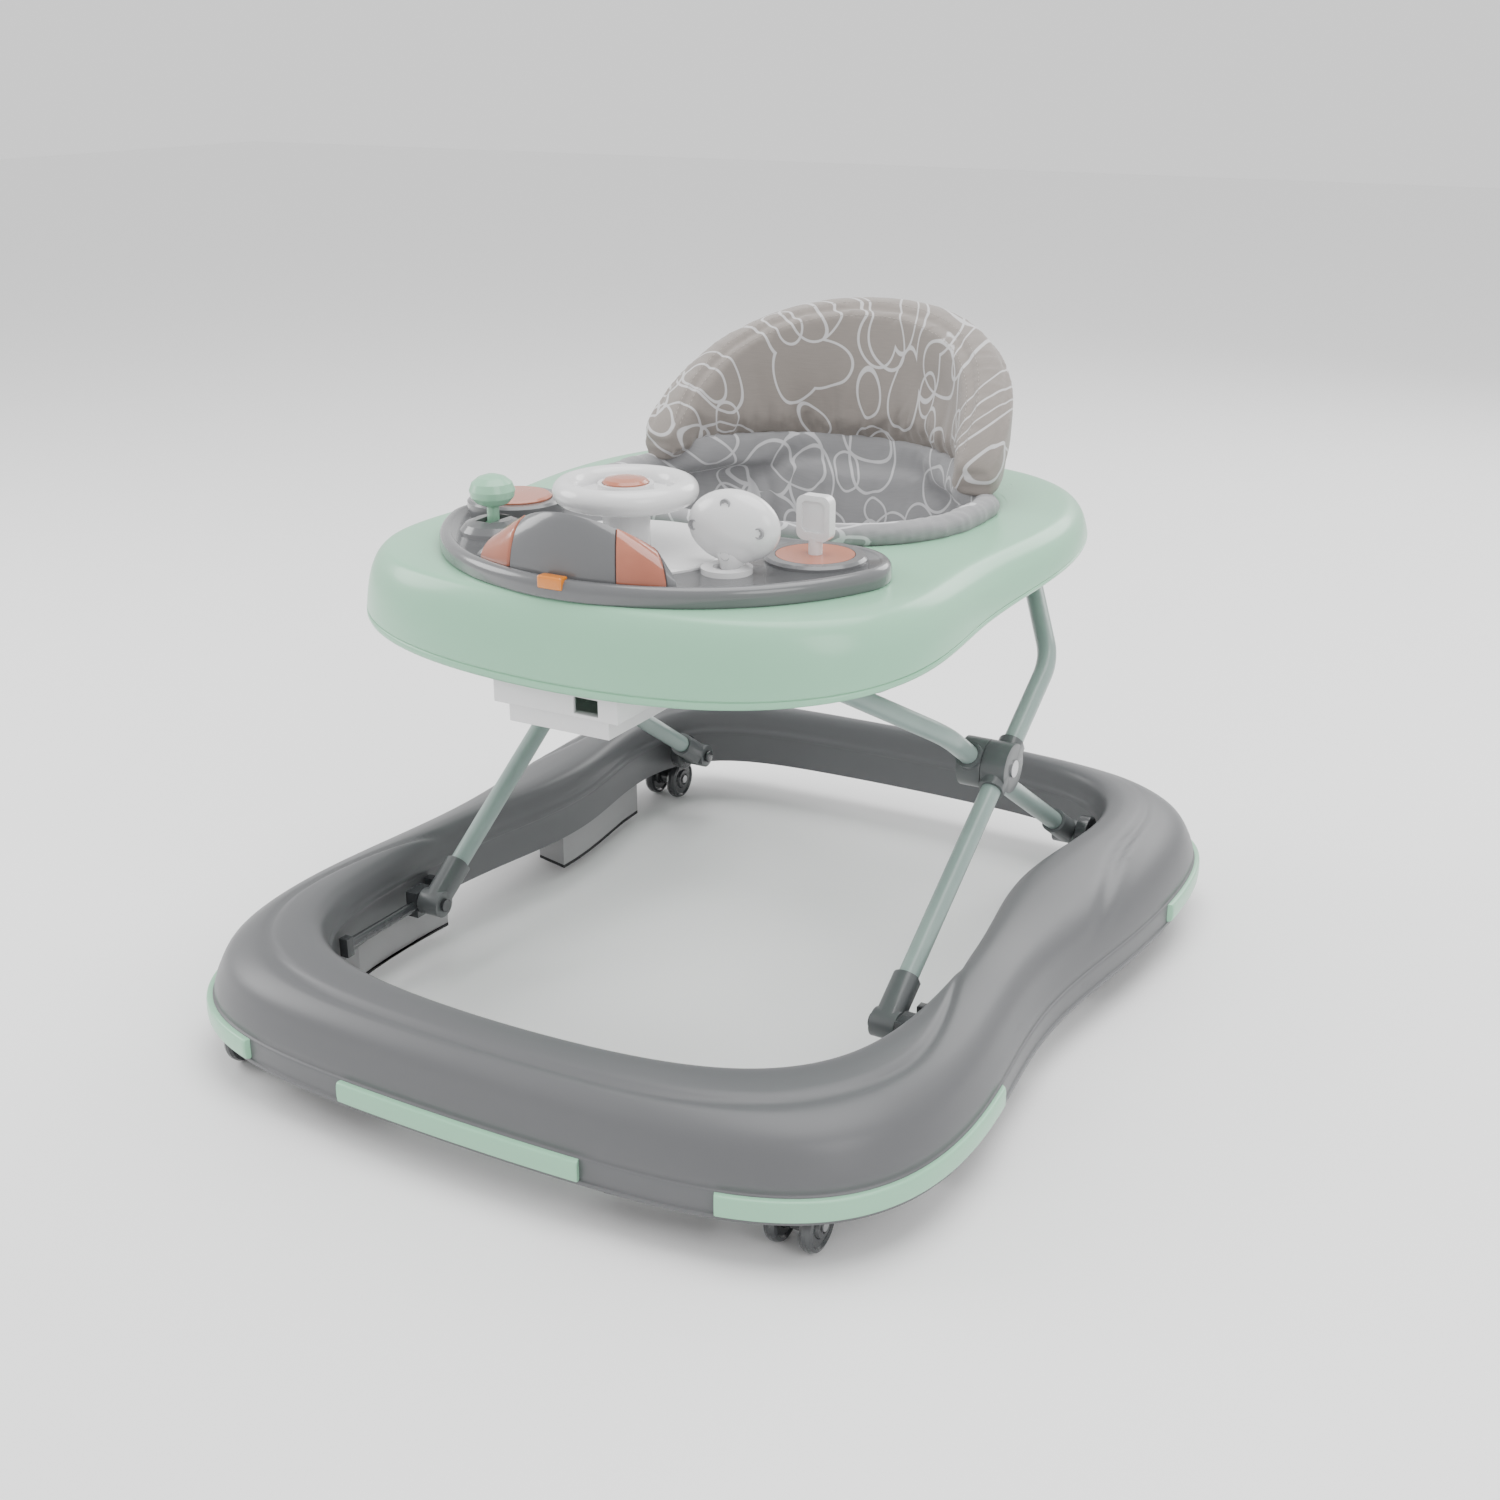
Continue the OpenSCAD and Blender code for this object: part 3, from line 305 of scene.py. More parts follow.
# Section from the skirt's foot over the crown to the opening's foot: [share across, offset, height]
ring_section = through([(0, -1.4, 34), (0, -1.4, 37), (0, 0, 38.2), (0, 0, 46), (0, 0.2, 53), (0, 2.0, 54.6),
                        (0.005, 2, 60), (0.05, 2, 71), (0.16, 0, 85), (0.32, 0, 94.5), (0.50, 0, 99.5),
                        (0.66, 0, 102.6), (0.79, 0, 104), (0.90, 0, 102.8), (0.965, 0, 97.5), (0.995, 0, 88),
                        (1, 0, 82), (1, 1.1, 78.5), (1, 1.1, 75.5), (1, 0, 72), (1, 0, 58), (1, 0, 45)], 4)
# Two soft valleys run over each side of the crown. One leaves the opening beside the waist and goes round
# the front, and the other leaves the skirt at the waist and fades out at the rear corner. The inner skin
# keeps below both.
from_front = np.abs(np.degrees(np.arctan2(np.cos(round_t), -np.sin(round_t))))
front_valley = 0.44 + 0.07 * ramp(from_front, 20, 42) + 0.50 * ramp(from_front, 46, 78)
front_depth = 2.3 * ramp(-from_front, -82, -70)
rear_valley = -0.08 + 0.60 * ramp(from_front, 84, 132)
rear_depth = 3.0 * ramp(from_front, 84, 94) * ramp(-from_front, -150, -128)
valley_w, valley_room = 0.042, 3
rings = []
for u, off, z in ring_section:
    top = ramp(z, 70, 88)
    low_side = 0.9 * ramp(rear_valley - u, 0.0, 0.16)
    sunk = front_depth * np.exp(-((u - front_valley) / valley_w) ** 2) \
        + rear_depth * (np.exp(-((u - rear_valley) / valley_w) ** 2) + low_side)
    rings.append(base_pt(round_t, np.full_like(round_t, u), np.full_like(round_t, off), z - top * sunk))
under = []
for u, off, z in ring_section[::-3]:
    near = ramp(u, 0.9, 1.0)
    inside = np.where(u < 0.1, wall + 1.5, 0) - near * wall * 0.999
    thick = wall * (0 if u < 0.02 else 1) + valley_room * ramp(z, 74, 92)
    under.append(base_pt(round_t, np.full_like(round_t, u), np.full_like(round_t, off + inside),
                         z - thick * (1 - near)))
points, faces = loft(rings + under, closed=True)
base = mesh_piece("base_ring", points, faces, base_grey, 50)
move_with(base, "base", "base_grey", "base_shell")

# ---- Bumper strips ----
# Five glossy mint plastic strips snapped round the skirt's foot: one at the front's middle and one at each
# corner. They are half-round in section, with square ends.
mint = moulded("mint_plastic", (0.262, 0.520, 0.350), 0.30, coat=0.15, blush=0.02)
bumper_section = through([(1.5, 37.4), (-3.4, 37.4), (-4.6, 39.2), (-5, 45), (-4.6, 50.8), (-3.2, 52.8),
                          (1.5, 53)], 3)


def bumper(name, start, end):
    """A strip between two angles in degrees, with its end faces' edges broken."""
    turns = np.radians(np.concatenate([[start, start + 0.12], np.arange(start + 0.5, end - 0.3, 0.5),
                                       [end - 0.12, end]]))
    rings = []
    for k, t in enumerate(turns):
        inset = 0.7 if k in (0, len(turns) - 1) else 0
        off = np.minimum(bumper_section[:, 0] + inset, bumper_section[0, 0])
        rings.append(base_pt(np.full(len(off), t), np.zeros(len(off)), off, bumper_section[:, 1]))
    return move_with(mesh_piece(name + "_strip", *loft(rings), mint), "base", "mint_plastic", name)


bumper("bumper_front_middle", -105, -75)
for side, mirror in (("left", 1), ("right", -1)):
    for name, start, end in (("front", -62, -26), ("rear", 31, 60)):
        bumper(f"bumper_{name}_{side}", *((start, end) if mirror > 0 else (180 - end, 180 - start)))


# ---- Folding legs ----
# Two bent steel tubes, 16 mm thick, powder-coated in grey green. Each starts at a foot, bends inwards
# under the tray and crosses to the other side. They turn on pins in the middle clamps.
def painted_tube():
    p = Paint("tube_paint")
    place = p.place()
    peel = p.noise(place, 260, 2)
    dust = p.noise(place, 9, 4, 0.6)
    p.shader.inputs["Coat Weight"].default_value = 0.35
    p.shader.inputs["Coat Roughness"].default_value = 0.12
    return p.finish(base_color=p.mix(dust.soft_step(0.35, 0.65), (0.225, 0.300, 0.278), (0.262, 0.345, 0.318)),
                    roughness=0.36 + (peel - 0.5) * 0.16, normal=p.bump(peel, 0.00005, 0.5))


tube_paint = painted_tube()
tube_d, top_z, foot_z, rear_y, reach = 16, 334, 66, 269, 404
outer_half, inner_half, tube_start = 209, 188, 12


def outer_at(x, d):
    return np.array([x, rear_y - d, top_z - (top_z - foot_z) * d / reach])


def inner_at(x, d):
    return np.array([x, rear_y - d, foot_z + (top_z - foot_z) * d / reach])


def bent(corners, radii):
    """The middle line of a tube bent at its corners."""
    line = [corners[0]]
    for a, b, c, r in zip(corners, corners[1:], corners[2:], radii):
        u, v = (a - b) / np.linalg.norm(a - b), (c - b) / np.linalg.norm(c - b)
        back = r / np.tan(np.arccos(np.clip(u @ v, -1, 1)) / 2)
        line += [(1 - s) ** 2 * (b + u * back) + 2 * s * (1 - s) * b + s ** 2 * (b + v * back)
                 for s in np.linspace(0, 1, 13)]
    return np.array(line + [corners[-1]])


def sweep(line, radius):
    """Rings of 24 points round a line, without twist."""
    turn = np.linspace(0, 2 * np.pi, 24, endpoint=False)[:, None]
    along = np.gradient(line, axis=0)
    along /= np.linalg.norm(along, axis=1)[:, None]
    up = np.cross(along[0], (0.3, 0.9, 0.2))
    rings = []
    for p, a in zip(line, along):
        up = up - a * (up @ a)
        up /= np.linalg.norm(up)
        side = np.cross(a, up)
        rings.append(p + radius * (np.cos(turn) * up + np.sin(turn) * side))
    return rings


def leg_frame(name, half, radii, body, node):
    """A whole tube from the corners and bend radii of its left half."""
    mirrored = [p * (-1, 1, 1) for p in half[::-1]]
    line = bent(half + mirrored, radii + radii[::-1])
    tube = mesh_piece(name, *loft([r * MM for r in sweep(line, tube_d / 2)]), tube_paint, 50)
    return move_with(tube, body, "tube_paint", node)


leg_frame("outer_tube", [outer_at(outer_half, reach - tube_start), outer_at(outer_half, 108), outer_at(138, 0)],
          [75, 36], "outer_legs", "outer_leg_frame")
flare, flare_end = 8, 155
leg_frame("inner_tube", [inner_at(inner_half + flare * (1 - tube_start / flare_end), tube_start),
                         inner_at(inner_half, flare_end), inner_at(inner_half, 265), inner_at(96, reach)],
          [150, 75, 36], "inner_legs", "inner_leg_frame")

# ---- Tray ----
# One large satin mint moulding. Its skirt falls in a full curve from the deck, lowest at the front,
# and ends in a thin bead above a parting line. The seat opening lies behind its middle.
tray_edge = dict(half=246, front=214, rear=357, square=(2.9, 3.15), bow=(0, 0),
                 waist=14.4, waist_y=12.4, spread=121)
seat_edge = dict(half=168, front=137, rear=137, square=(2.5, 2.5), bow=(0, 0),
                 waist=0, waist_y=0, spread=100)
tray_mid_y, seat_mid_y, deck_z, tray_wall = -40, 98, 387, 3
tray_front_y, tray_length, skirt_front_z, skirt_rise = -254, 571, 324, 40


def about(edge, mid_y, t, inset, z):
    """The edge's ring at the angles t, drawn in by the inset and laid at the height z."""
    p = peanut(edge, t)
    p = p - p / np.linalg.norm(p, axis=-1, keepdims=True) * np.broadcast_to(inset, t.shape)[..., None]
    return np.concatenate([p + (0, mid_y), np.broadcast_to(np.asarray(z, float), t.shape)[..., None]], -1)


def skirt_low(t):
    """Height of the skirt's foot, which rises from the tray's front to its rear."""
    y = about(tray_edge, tray_mid_y, t, 0, 0)[:, 1]
    return skirt_front_z + skirt_rise * (np.maximum(0, y - tray_front_y) / tray_length) ** 0.55


# The shoulder is 24 mm wide, and 15 mm at the front. The bead is given as millimetres in and share of the
# height, and the curve as share of the shoulder and share of the height.
shoulder = 24 - 9 * np.maximum(0, -np.sin(round_t)) ** 2
low = skirt_low(round_t)
bead = [(1.0, 0), (0.1, 0.006), (-0.4, 0.03), (-0.4, 0.075), (0.2, 0.088), (0.9, 0.094), (0.9, 0.102),
        (0.2, 0.108)]
curve = through([(0.0, 0.12), (0.03, 0.24), (0.10, 0.42), (0.22, 0.62), (0.42, 0.81), (0.66, 0.935),
                 (0.86, 0.985), (1.05, 1)], 5)
rings = [about(tray_edge, tray_mid_y, round_t, foot, low + (deck_z - low) * up) for foot, up in bead]
rings += [about(tray_edge, tray_mid_y, round_t, share * shoulder, low + (deck_z - low) * up)
          for share, up in curve]
outer_deck = rings[-1]
inner_deck = about(seat_edge, seat_mid_y, round_t, -7, deck_z)
rings += [outer_deck * (1 - s) + inner_deck * s for s in (0.15, 0.4, 0.7, 0.9)]
seat_lip = [(-7, 387), (-4, 386.9), (-1.2, 386.3), (0.8, 385), (2, 382.5), (2, 375), (-1, 375), (-1, 384)]
rings += [about(seat_edge, seat_mid_y, round_t, inset, z) for inset, z in seat_lip]
for share, up in ((1, 1), (0.7, 0.95), (0.42, 0.80), (0.22, 0.58), (0.10, 0.36), (0.04, 0.14), (0, 0)):
    rings.append(about(tray_edge, tray_mid_y, round_t, tray_wall + share * shoulder,
                       low + (deck_z - tray_wall - low) * up))
tray = mesh_piece("tray_moulding", *loft([r * MM for r in rings], closed=True), mint, 50)
move_with(tray, "tray", "mint_plastic", "tray_shell")

# ---- Toy panel ----
# A kidney-shaped plate of glossy grey plastic, screwed to the front of the deck. A thick rounded rim runs
# round it.
panel_grey = moulded("panel_grey", (0.122, 0.124, 0.129), 0.22, grain=0.000006, coat=0.4, blush=0.03)
big_mid, big_r = np.array([0, -49.7]), 194.3
lobe_mid, lobe_r, lobe_turn = np.array([138, -104]), 46, -21.5
panel_rear_y, panel_top = -66, 400
rear_gap = panel_rear_y - lobe_mid[1]
rear_r = (lobe_mid[0] ** 2 + rear_gap ** 2 - lobe_r ** 2) / (2 * (lobe_r - rear_gap))
rear_mid = np.array([0, panel_rear_y + rear_r])
rear_turn = math.degrees(math.atan2(rear_mid[1] - lobe_mid[1], -lobe_mid[0]))


def arc(c, r, start, end, n):
    t = np.radians(np.linspace(start, end, n))
    return np.asarray(c) + r * np.stack([np.cos(t), np.sin(t)], -1)


def panel_outline(inset, z):
    flat = np.concatenate([
        arc(big_mid, big_r - inset, -180 - lobe_turn, lobe_turn, 150),
        arc(lobe_mid, lobe_r - inset, lobe_turn + 1.5, rear_turn, 60),
        arc(rear_mid, rear_r + inset, rear_turn - 180 - 0.4, -rear_turn + 0.4, 60),
        arc(lobe_mid * (-1, 1), lobe_r - inset, 180 - rear_turn, 180 - lobe_turn - 1.5, 60)])
    return np.concatenate([flat, np.full((len(flat), 1), z)], -1) * MM


profile = through([(1.2, 386.8), (0.2, 388.2), (0, 391), (0, 395), (0.9, 398.2), (3.2, 400.6), (5.8, 401.2),
                   (7.8, 400.7), (8.8, 400.0)], 3)
panel = mesh_piece("toy_plate", *loft([panel_outline(i, z) for i, z in profile]), panel_grey, 60)
move_with(panel, "tray", "panel_grey", "toy_panel")

# ---- Dashboard cowl and lamps ----
# A hood like a car's dashboard in front of the steering wheel, with a coppery lamp let into each side
# and a small orange light in the panel below it.
peach = moulded("peach_plastic", (0.42, 0.135, 0.075), 0.25, grain=0.000005, coat=0.45, blush=0.05)
steer_mid = np.array([0, -148])
plate_r, rim_w = 76, 9
cowl_arc, lamp_arc, cowl_h, lamp_bed = 51, (28, 48), 43, 1.6
cowl_curve = through([(1, 0), (0.975, 0.15), (0.87, 0.42), (0.67, 0.70), (0.42, 0.89), (0.20, 0.975),
                      (0.07, 1.0), (0, 0.965)], 4)


def cowl_ring(degrees, skin):
    """The hood's section on one ray from the steering wheel's middle, raised or sunk by the skin."""
    a = math.radians(degrees)
    dy, r = big_mid[1] - steer_mid[1], big_r - rim_w
    inner_r = plate_r + 1
    outer_r = -math.cos(a) * dy + math.sqrt(r * r - (dy * math.sin(a)) ** 2)
    height = cowl_h * (1 - 0.62 * (degrees / cowl_arc) ** 2)
    away = np.array([math.sin(a), -math.cos(a)])
    out = []
    for s, up in cowl_curve:
        rho = inner_r + (outer_r - inner_r) * s + skin * 0.85 * min(1, s * 4)
        lift = max(0, height * up + skin * 0.55 * min(1, up * 4))
        out.append([*(steer_mid + away * rho), panel_top + lift])
    return np.array(out)


def in_lamp(a):
    """1 in a lamp's bed, and 0 beside it."""
    return float(ramp(abs(a), lamp_arc[0] - 0.1, lamp_arc[0] + 0.5)
                 * ramp(-abs(a), -lamp_arc[1] - 0.1, -lamp_arc[1] + 0.5))


bed_edges = [lamp_arc[0] + d for d in (-0.1, 0.2, 0.6)] + [lamp_arc[1] + d for d in (-0.6, -0.2, 0.1)]
stations = sorted({*np.arange(-cowl_arc, cowl_arc + 0.1, 1.5), *[s * v for s in (-1, 1) for v in bed_edges]})
rings = []
for a in stations:
    ring = cowl_ring(a, -lamp_bed * in_lamp(a))
    end = float(ramp(abs(a), cowl_arc - 2.5, cowl_arc))
    ring[:, 2] = panel_top + (ring[:, 2] - panel_top) * (1 - 0.35 * end)
    foot = [[*ring[-1, :2], panel_top - 1], [*ring[0, :2], panel_top - 1]]
    rings.append(np.concatenate([ring, foot]) * MM)
cowl = mesh_piece("dash_hood", *loft(rings), panel_grey, 40)
move_with(cowl, "tray", "panel_grey", "dash_cowl")


def shells(*lofts):
    """Several closed shapes as the points and faces of one piece."""
    points, faces, start = [], [], 0
    for p, f in lofts:
        faces += [tuple(v + start for v in face) for face in f]
        points.append(p)
        start += len(p)
    return np.concatenate(points), faces


lamp_lofts = []
for side in (-1, 1):
    first, last = lamp_arc[0] + 0.5, lamp_arc[1] - 0.5
    turns = side * np.concatenate([[first], np.linspace(first + 0.4, last - 0.4, 22), [last]])
    rings = []
    for k, a in enumerate(turns):
        proud = 0.1 if k in (0, len(turns) - 1) else 0.9
        top, bottom = cowl_ring(a, proud)[1:-5], cowl_ring(a, 0.2 - lamp_bed)[1:-5]
        rings.append(np.concatenate([top, bottom[::-1]]) * MM)
    lamp_lofts.append(loft(rings))


def lamp_paint():
    """Coppery translucent plastic over moulded vertical flutes."""
    p = Paint("lamp_plastic")
    place = p.place()
    flute = p.node("ShaderNodeTexWave", {"bands_direction": "X", "wave_profile": "SIN"},
                   {"Vector": place, "Scale": 55, "Distortion": 0.4})
    cloud = p.noise(place, 22, 3)
    p.shader.inputs["Coat Weight"].default_value = 0.7
    p.shader.inputs["Coat Roughness"].default_value = 0.05
    return p.finish(base_color=p.mix(cloud.soft_step(0.3, 0.7), (0.33, 0.095, 0.052), (0.41, 0.132, 0.076)),
                    roughness=0.12 + flute * 0.05, normal=p.bump(flute, 0.00003, 0.3))


lamps = mesh_piece("lamp_lenses", *shells(*lamp_lofts), lamp_paint(), 50)
move_with(lamps, "tray", "peach_plastic", "cowl_lamps")

orange = moulded("orange_lens", (0.62, 0.185, 0.006), 0.16, grain=0.000004, coat=0.7, blush=0.06)
lens_round = 0.0018
lens_low, lens_high = (np.array(c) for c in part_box("indicator_lens"))
lens = bmesh.new()
bmesh.ops.create_cube(lens, size=1)
bmesh.ops.scale(lens, vec=lens_high - lens_low, verts=lens.verts)
bmesh.ops.translate(lens, vec=(lens_high + lens_low) / 2, verts=lens.verts)
bmesh.ops.bevel(lens, geom=lens.edges[:], offset=lens_round, segments=4, affect="EDGES", profile=0.6)
lens_mesh = bpy.data.meshes.new("signal_light")
lens.to_mesh(lens_mesh)
lens.free()
lens_mesh.materials.append(orange)
signal = link(lens_mesh, "signal_light")
round_off(signal, 40)
move_with(signal, "tray", "orange_lens", "indicator_lens")

# ---- The other mouldings, pins and wheels ----
# Casters, sockets, pins, screws, brackets and the smaller toys: moulded plastic, rubber and bare steel. Their
# shapes are right as they are, and only get their finish.
def steel_paint():
    p = Paint("steel")
    place = p.place()
    lines = p.noise(p.stretched(place, (40, 900, 900)), 1.0, 3)
    return p.finish(base_color=p.mix(lines, (0.42, 0.42, 0.43), (0.66, 0.66, 0.67)), metallic=0.95,
                    roughness=0.26 + lines * 0.16, normal=p.bump(lines, 0.00001, 0.3))


def mirror_paint():
    p = Paint("mirror_film")
    haze = p.noise(p.place(), 30, 3)
    return p.finish(base_color=(0.85, 0.86, 0.87), metallic=1.0, roughness=0.05 + haze * 0.05)


finishes = {
    "mint_plastic": mint,
    "base_grey": base_grey,
    "panel_grey": panel_grey,
    "dark_plastic": moulded("dark_plastic", (0.036, 0.039, 0.042), 0.26, grain=0.00001, coat=0.3),
    "holder_grey": moulded("holder_grey", (0.27, 0.27, 0.275), 0.42),
    "clamp_grey": moulded("clamp_grey", (0.082, 0.090, 0.092), 0.34, grain=0.00002, coat=0.1),
    "rubber": moulded("rubber", (0.012, 0.012, 0.013), 0.78, grain=0.00005, blush=0.2),
    "tube_paint": tube_paint,
    "steel": steel_paint(),
    "white_plastic": moulded("white_plastic", (0.70, 0.70, 0.705), 0.22, grain=0.000006, coat=0.45,
                             blush=0.012),
    "peach_plastic": peach,
    "orange_lens": orange,
    "board": moulded("board", (0.42, 0.40, 0.36), 0.7),
    "mirror": mirror_paint(),
}
slot_of = {part["node"]: part["material_slot"] for part in frame["record"]["subparts"]}
for node, piece in frame["nodes"].items():
    if slot_of.get(node) in finishes:
        for held in piece.material_slots:
            held.material = finishes[slot_of[node]]


# ---- Softened mouldings ----
# The height adjuster, rails, brackets, clamps, foot caps and brake pads are moulded parts with small
# rounded edges, which their plain shapes lack: each is a copy with its edges broken.
def softened(node, width, body):
    """A copy of the plain shape with its sharp edges rounded over the width in millimetres."""
    source = frame["nodes"][node]
    build = bmesh.new()
    build.from_mesh(source.data)
    bmesh.ops.remove_doubles(build, verts=build.verts, dist=2e-5)
    bmesh.ops.dissolve_limit(build, angle_limit=math.radians(2), verts=build.verts, edges=build.edges)
    sharp = [e for e in build.edges if len(e.link_faces) == 2 and e.calc_face_angle(0) > math.radians(40)]
    bmesh.ops.bevel(build, geom=sharp, offset=width * MM, segments=3, affect="EDGES", profile=0.5,
                    clamp_overlap=True)
    bmesh.ops.triangulate(build, faces=[f for f in build.faces if len(f.verts) > 4])
    mesh = bpy.data.meshes.new(node + "_moulding")
    build.to_mesh(mesh)
    build.free()
    obj = link(mesh, node + "_moulding")
    mesh.materials.append(finishes[slot_of[node]])
    round_off(obj, 32)
    return move_with(obj, body, slot_of[node], node)


for node, width, body in (("height_adjuster", 2.2, "tray"), ("brake_pad_holders", 1.6, "base"),
                          ("slide_rails", 0.8, "base"), ("rear_leg_brackets", 1.2, "base"),
                          ("clamps_outer", 1.6, "outer_legs"), ("clamps_inner", 1.6, "inner_legs"),
                          ("front_foot_caps", 1.4, "outer_legs"), ("rear_foot_caps", 1.4, "inner_legs")):
    softened(node, width, body)


# ---- Toy mirror ----
# An egg-shaped white plastic shell on a short turning neck. Four screws in small wells in its back hold it
# together, and a mirror film faces the child.
egg_mid, egg_half = np.array([93, -158, 430]), (35, 25.5)
egg_turn = np.linspace(0, 2 * np.pi, 64, endpoint=False)


def egg_ring(share, y):
    """The egg's outline, made smaller by the share and laid y behind its middle."""
    return (egg_mid + np.stack([egg_half[0] * share * np.cos(egg_turn), np.full_like(egg_turn, y),
                                egg_half[1] * share * np.sin(egg_turn)], -1)) * MM


def lathe(profile, middle, sides=48, axis=2):
    """Rings of (radius, height) round an upright axis, or round the one that runs to the front."""
    turn = np.linspace(0, 2 * np.pi, sides, endpoint=False)
    rings = []
    for radius, height in profile:
        ring = np.stack([radius * np.cos(turn), radius * np.sin(turn), np.full(sides, height)], -1)
        rings.append((np.asarray(middle) + (ring if axis == 2 else ring[:, [0, 2, 1]] * (1, -1, 1))) * MM)
    return rings


white = finishes["white_plastic"]
dome = through([(0.02, -14), (0.25, -13.6), (0.5, -12.2), (0.72, -9.6), (0.88, -6), (0.97, -2), (1.0, 2),
                (0.985, 6), (0.93, 8.2), (0.87, 8.6), (0.845, 8.0)], 4)
neck = [(8.5, 401.2), (9, 402), (9.2, 405), (10.5, 408), (11.5, 412), (10.5, 416), (6, 419)]
shell = mesh_piece("mirror_housing", *shells(loft([egg_ring(s, y) for s, y in dome] + [egg_ring(0.84, 7)]),
                                             loft(lathe(neck, (*egg_mid[:2], 0)))), white, 40)
move_with(shell, "mirror", "white_plastic", "mirror_shell")
film = mesh_piece("mirror_face", *loft([egg_ring(0.838, 6.9), egg_ring(0.838, 7.3), egg_ring(0.82, 7.5)]),
                  finishes["mirror"], 40)
move_with(film, "mirror", "mirror", "mirror_glass")
well_ring = [(3.9, -1.0), (3.9, 0.2), (3.5, 0.55), (2.9, 0.2), (2.7, -0.5), (1.3, -0.5), (1.2, -0.9)]
wells = []
for x, z in ((0, 0.70), (-0.74, 0.02), (0.74, 0.02), (0, -0.70)):
    # Each well stands on the dome, which falls away like this from its crown.
    dome_y = -13.9 + 8.6 * math.hypot(x, z) ** 2.4
    middle = egg_mid + (egg_half[0] * x, dome_y, egg_half[1] * z)
    wells.append(loft(lathe(well_ring, middle, 32, axis=1)))
screw_grey = moulded("screw_well", (0.30, 0.30, 0.31), 0.4)
screws = mesh_piece("mirror_screw_heads", *shells(*wells), screw_grey, 30)
move_with(screws, "mirror", "steel", "mirror_screws")


# ---- Backrest cover ----
# A padded taupe cotton cover pulled over a curved board, so that it stands round the seat like a hood.
# Its inner panel is sewn to the rim band, and gathers at the bottom where it is drawn tight.
def printed_cloth(name, colour, line_colour, mid_y, reach_m):
    """Fine cotton, printed with thin white lines that wander in loops round the cover and over its edge."""
    p = Paint(name)
    place = p.place()
    split = p.tree.nodes.new("ShaderNodeSeparateXYZ")
    p.join(place, split.inputs[0])
    x, y, z = (Socket(p, split.outputs[k]) for k in range(3))
    y = y - mid_y
    turn = p.node("ShaderNodeMath", {"operation": "ARCTAN2"}, {0: x, 1: y})
    out = (x * x + y * y) ** 0.5 - reach_m
    slant = 0.7
    across = turn * reach_m + out * slant
    up = z - out * slant
    flat = p.node("ShaderNodeCombineXYZ", values={0: across, 1: up})
    lines = None
    wobble_scale, wobble_m, line_half, line_end, thread_m = 11, 0.05, 0.0009, 0.0014, 0.0009

    def vector(operation, first, second):
        return p.node("ShaderNodeVectorMath", {"operation": operation}, {0: first, 1: second})

    for cell, size, shift in ((16.0, 0.36, 0.0), (12.5, 0.30, 3.7), (15.0, 0.20, 8.1)):
        wobble = p.node("ShaderNodeTexNoise", values={"Vector": vector("ADD", flat, (shift, shift * 0.7, 0)),
                                                      "Scale": wobble_scale, "Detail": 0}, output="Color")
        bent_by = p.node("ShaderNodeVectorMath", {"operation": "SCALE"},
                         {0: vector("SUBTRACT", wobble, (0.5, 0.5, 0.5)), "Scale": wobble_m})
        warped = vector("ADD", vector("ADD", flat, bent_by), (shift, shift * 1.3, 0))
        cells = p.node("ShaderNodeTexVoronoi", {"voronoi_dimensions": "2D", "feature": "F1"},
                       {"Vector": warped, "Scale": cell, "Randomness": 0.85})
        line = 1 - (abs(cells - size) / cell).soft_step(line_half, line_end)
        lines = line if lines is None else lines.math("MAXIMUM", line)
    thread = 2 * math.pi / thread_m
    weave = (across * thread).math("SINE") * (up * thread).math("SINE")
    slub = p.noise(p.stretched(flat, (60, 900, 1)), 1.0, 3)
    cloud = p.noise(place, 11, 4, 0.6)
    worn = (cloud - 0.5) * 0.5 + (slub - 0.5) * 0.5 + 0.5
    ground = p.mix(worn.soft_step(0.1, 0.9), shade(colour, 0.90), shade(colour, 1.09))
    p.shader.inputs["Sheen Weight"].default_value = 0.25
    p.shader.inputs["Sheen Roughness"].default_value = 0.5
    normal = p.bump(weave, 0.00006, 0.6, p.bump(slub, 0.00005, 0.5))
    return p.finish(base_color=p.mix(lines * 0.92, ground, line_colour), roughness=0.86 - lines * 0.16,
                    normal=normal)


def remeshed(obj, voxel):
    """The same closed shape in even quads."""
    change = obj.modifiers.new("even", "REMESH")
    change.mode = "VOXEL"
    change.voxel_size = voxel
    bake(obj)


def bake(obj):
    """Applies every modifier to the mesh."""
    graph = bpy.context.evaluated_depsgraph_get()
    made = bpy.data.meshes.new_from_object(obj.evaluated_get(graph))
    obj.modifiers.clear()
    old = obj.data
    obj.data = made
    bpy.data.meshes.remove(old)


def places(obj):
    """The mesh's points as rows."""
    out = np.empty(len(obj.data.vertices) * 3)
    obj.data.vertices.foreach_get("co", out)
    return out.reshape(-1, 3)


def outwards(obj):
    """Each point's normal."""
    out = np.empty(len(obj.data.vertices) * 3)
    obj.data.vertex_normals.foreach_get("vector", out)
    return out.reshape(-1, 3)


def set_places(obj, points):
    obj.data.vertices.foreach_set("co", np.ascontiguousarray(points, dtype=np.float64).ravel())
    obj.data.update()


